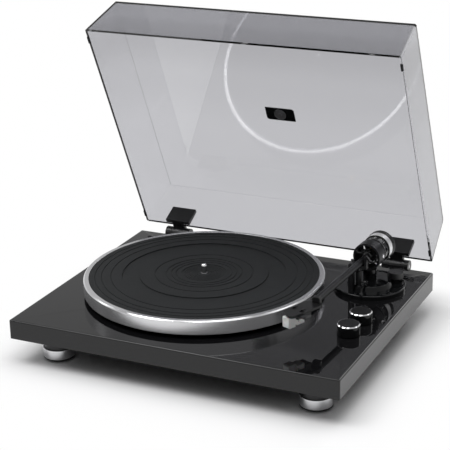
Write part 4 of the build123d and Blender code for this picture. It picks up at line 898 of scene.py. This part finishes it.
REAR, KNUCKLE_R, EAR, LEAF_LOW = BOARD_SIDES[3], 8, 8.5, PLINTH_TOP + 2.7
pins = []
for side, x in HINGES.items():
    x0, x1 = x - 17.75, x + 17.75
    bracket = block("hinge_base_" + side, x0, x1, REAR, REAR + 2, HINGE_Z - 21, HINGE_Z)
    for ear_x in (x0, x1 - EAR):
        weld(bracket, block("web", ear_x, ear_x + EAR, REAR, HINGE_Y, HINGE_Z - KNUCKLE_R, HINGE_Z))
        weld(bracket, barrel_across("ear", KNUCKLE_R, ear_x, ear_x + EAR))
    cut(bracket, barrel_across("pin_hole", 2.53, x0 - 1, x1 + 1))
    fit_piece(soften(bracket, 0.4, 2), "hinge_base_" + side, "base", satin_black)

    leaf = barrel_across("hinge_leaf_" + side, KNUCKLE_R, x - 8.95, x + 8.95)
    weld(leaf, block("web", x - 8.95, x + 8.95, 151, HINGE_Y, LEAF_LOW, PLINTH_TOP + 7.2))
    pad = block("pad", x0, x1, 151, 156.45, LEAF_LOW, PLINTH_TOP + 28.5)
    for corner in pad.data.vertices:
        if corner.co.z > PLINTH_TOP * MM + 0.02 and corner.co.y > 0.155:
            corner.co.y -= REAR_LEAN * 26 / LID_H * MM
    round_edges(pad, lambda a, b: abs(a.y - b.y) > 4 and min(a.z, b.z) > PLINTH_TOP + 20, 0.9, 3)
    weld(leaf, pad)
    cut(leaf, barrel_across("pin_way", 2.55, x - 10, x + 10))
    place(soften(leaf, 0.4, 2), OPEN)
    fit_piece(leaf, "hinge_leaf_" + side, "cover", satin_black)
    pins.append(soften(barrel_across("pin", 2.5, x0, x1), 0.3, 2))
fit_piece(join("hinge_pins", pins), "hinge_pins", "base", steel)

bumpers = []
for x in (MIDDLE_X - LID_W / 2 + 1.9, MIDDLE_X + LID_W / 2 - 1.9):
    for y in (LID_REAR - LID_D + 16, LID_REAR - 16):
        bumper = block("bumper", x - 1.5, x + 1.5, y - 5, y + 5, PLINTH_TOP + 0.2, LID_LOW)
        bumpers.append(soften(bumper, 0.6))
fit_piece(place(join("cover_bumpers", bumpers), OPEN), "cover_bumpers", "cover", rubber)

CEILING = LID_LOW + LID_H - LID_WALL
plate_y = (LID_REAR - LID_D + FRONT_LEAN + LID_REAR - REAR_LEAN) / 2
plate = block("cover_plate", -20, 20, -10, 10, -1.2, 0)
round_edges(plate, lambda a, b: upright(a, b) and a.x * a.y < 0, 4, 8)
dished = [(0, -0.5), (8.2, -0.5), (8.2, -1.7), (7.9, -2.1), (7.5, -2.1), (7.2, -1.5), (2.4, -1.5), (2.1, -2.1),
          (0, -2.1)]
boss = turned("cover_plate_boss", dished, steps=96)
spot = OPEN @ shift(MIDDLE_X, plate_y, CEILING)
fit_piece(place(soften(plate, 0.3, 2, 50), spot), "cover_plate", "cover", shiny_black)
fit_piece(place(smooth(boss), spot), "cover_plate", "cover", steel_black)
print("hinges, bumpers and plate on the cover")

# %% [markdown]
# ## Floor and light
# A player like this is shot on white paper. Under and beside the board the paper takes the real light, so that it
# keeps the soft shadow; farther off it fades into plain white. The fade follows the distance beyond the board's own
# outline, which is the length of what is left of a point once the board's half width and depth are taken off it.

# %% Floor
def maths(how, first, second):
    """Join two values, each a number or a socket, by one sum."""
    step = nodes.new("ShaderNodeMath")
    step.operation = how
    for socket, value in zip(step.inputs, (first, second)):
        if isinstance(value, (int, float)):
            socket.default_value = value
        else:
            links.new(value, socket)
    return step.outputs[0]


bpy.ops.mesh.primitive_plane_add(size=16, location=(0, 0, FLOOR * MM))
floor = bpy.context.object
floor.name = "floor_sheet"
paper = bpy.data.materials.new("white_paper")
paper.use_nodes = True
nodes, links = paper.node_tree.nodes, paper.node_tree.links
sheet = nodes["Principled BSDF"]
sheet.inputs["Base Color"].default_value = (0.94, 0.94, 0.945, 1)
sheet.inputs["Roughness"].default_value = 0.9
sheet.inputs["Specular IOR Level"].default_value = 0.0
spot = nodes.new("ShaderNodeTexCoord")
beyond_board = spot.outputs["Object"]
SHADE_MIDDLE, SHADE_REACH = (25, -7, 0), (200.5, 167.5, 0)
for how, amount in (("SUBTRACT", SHADE_MIDDLE), ("ABSOLUTE", None), ("SUBTRACT", SHADE_REACH),
                    ("MAXIMUM", (0, 0, 0))):
    step = nodes.new("ShaderNodeVectorMath")
    step.operation = how
    links.new(beyond_board, step.inputs[0])
    if amount:
        step.inputs[1].default_value = [a * MM for a in amount]
    beyond_board = step.outputs["Vector"]
far = nodes.new("ShaderNodeVectorMath")
far.operation = "LENGTH"
links.new(beyond_board, far.inputs[0])
fade = ramp(nodes, links, far.outputs["Value"], [(0.01, 0), (0.1, 1)])
ray = nodes.new("ShaderNodeLightPath").outputs
seen = maths("MAXIMUM", ray["Is Camera Ray"], ray["Is Transmission Ray"])
seen = maths("MAXIMUM", seen, ray["Is Glossy Ray"])
white = nodes.new("ShaderNodeEmission")
both = nodes.new("ShaderNodeMixShader")
links.new(maths("MULTIPLY", fade, seen), both.inputs["Fac"])
links.new(sheet.outputs["BSDF"], both.inputs[1])
links.new(white.outputs["Emission"], both.inputs[2])
links.new(both.outputs["Shader"], nodes["Material Output"].inputs["Surface"])
dress(floor, paper)
print("floor at", FLOOR, "mm")

# %% [markdown]
# ## Light
# Gloss black shows what stands round it, so the light is a room as much as a set of lamps. The background is plain
# white. What glossy metal and plastic mirror is a grey room, and what lights the shapes is a soft dome from above.
# Five soft panels add the broad light from the top and front, and a little from the sides and back.

# %% Light
world = bpy.data.worlds.new("white_studio")
bpy.context.scene.world = world
world.use_nodes = True
nodes, links = world.node_tree.nodes, world.node_tree.links
way = nodes.new("ShaderNodeTexCoord")
parts = nodes.new("ShaderNodeSeparateXYZ")
links.new(way.outputs["Generated"], parts.inputs["Vector"])
ROOM_STOPS = [(0.0, 0.75), (0.25, 0.62), (0.45, 0.5), (0.62, 0.45), (1.0, 0.5)]
DOME_STOPS = [(0.0, 0.0), (0.4, 0.03), (0.7, 0.45), (1.0, 0.9)]
room = ramp(nodes, links, parts.outputs["Z"], ROOM_STOPS)
lean = nodes.new("ShaderNodeVectorMath")
lean.operation = "DOT_PRODUCT"
lean.inputs[1].default_value = (-0.1, 0.0, 0.99)
links.new(way.outputs["Generated"], lean.inputs[0])
dome = ramp(nodes, links, lean.outputs["Value"], DOME_STOPS)
ray = nodes.new("ShaderNodeLightPath").outputs


def mix(factor, first, second):
    """Blend two colours, each a grey level or a socket."""
    step = nodes.new("ShaderNodeMix")
    step.data_type = "RGBA"
    links.new(factor, step.inputs["Factor"])
    for socket, value in ((step.inputs["A"], first), (step.inputs["B"], second)):
        if isinstance(value, float):
            socket.default_value = (value, value, value, 1)
        else:
            links.new(value, socket)
    return step.outputs["Result"]


straight = maths("MAXIMUM", ray["Is Camera Ray"], ray["Is Transmission Ray"])
bounces = maths("ADD", ray["Glossy Depth"], ray["Diffuse Depth"])
backdrop = maths("MULTIPLY", straight, maths("SUBTRACT", 1.0, maths("MINIMUM", bounces, 1.0)))
mirrored = maths("MINIMUM", maths("ADD", ray["Is Glossy Ray"], ray["Is Transmission Ray"]), 1.0)
light = mix(backdrop, mix(mirrored, dome, room), 1.0)
links.new(light, nodes["Background"].inputs["Color"])


def soft_panel(name, way, size, power, distance=2.5):
    """Hang a square soft panel in one direction from the player, looking at its middle."""
    aim = Vector((0.03, 0, 0))
    bpy.ops.object.light_add(type="AREA", location=aim + Vector(way).normalized() * distance)
    light = bpy.context.object
    light.name = name
    light.data.size = size
    light.data.energy = power
    light.rotation_euler = (aim - light.location).to_track_quat("-Z", "Y").to_euler()
    return light


soft_panel("top_panel", (0.1, -0.1, 0.98), 1.7, 23)
soft_panel("front_panel", (-0.42, -0.34, 0.84), 1.0, 18)
soft_panel("right_panel", (0.56, 0.37, 0.75), 1.0, 4)
soft_panel("left_panel", (-0.82, 0.07, 0.57), 0.7, 4)
soft_panel("back_panel", (0.22, 0.86, 0.46), 0.8, 6)
print("five soft panels and a grey room")

# %% [markdown]
# ## Bringing the scene up to date
# The dressed player has to fill the same box as the drawn one; at the end the scene is brought up to date.

# %% Bring the scene up to date
bpy.context.view_layer.update()
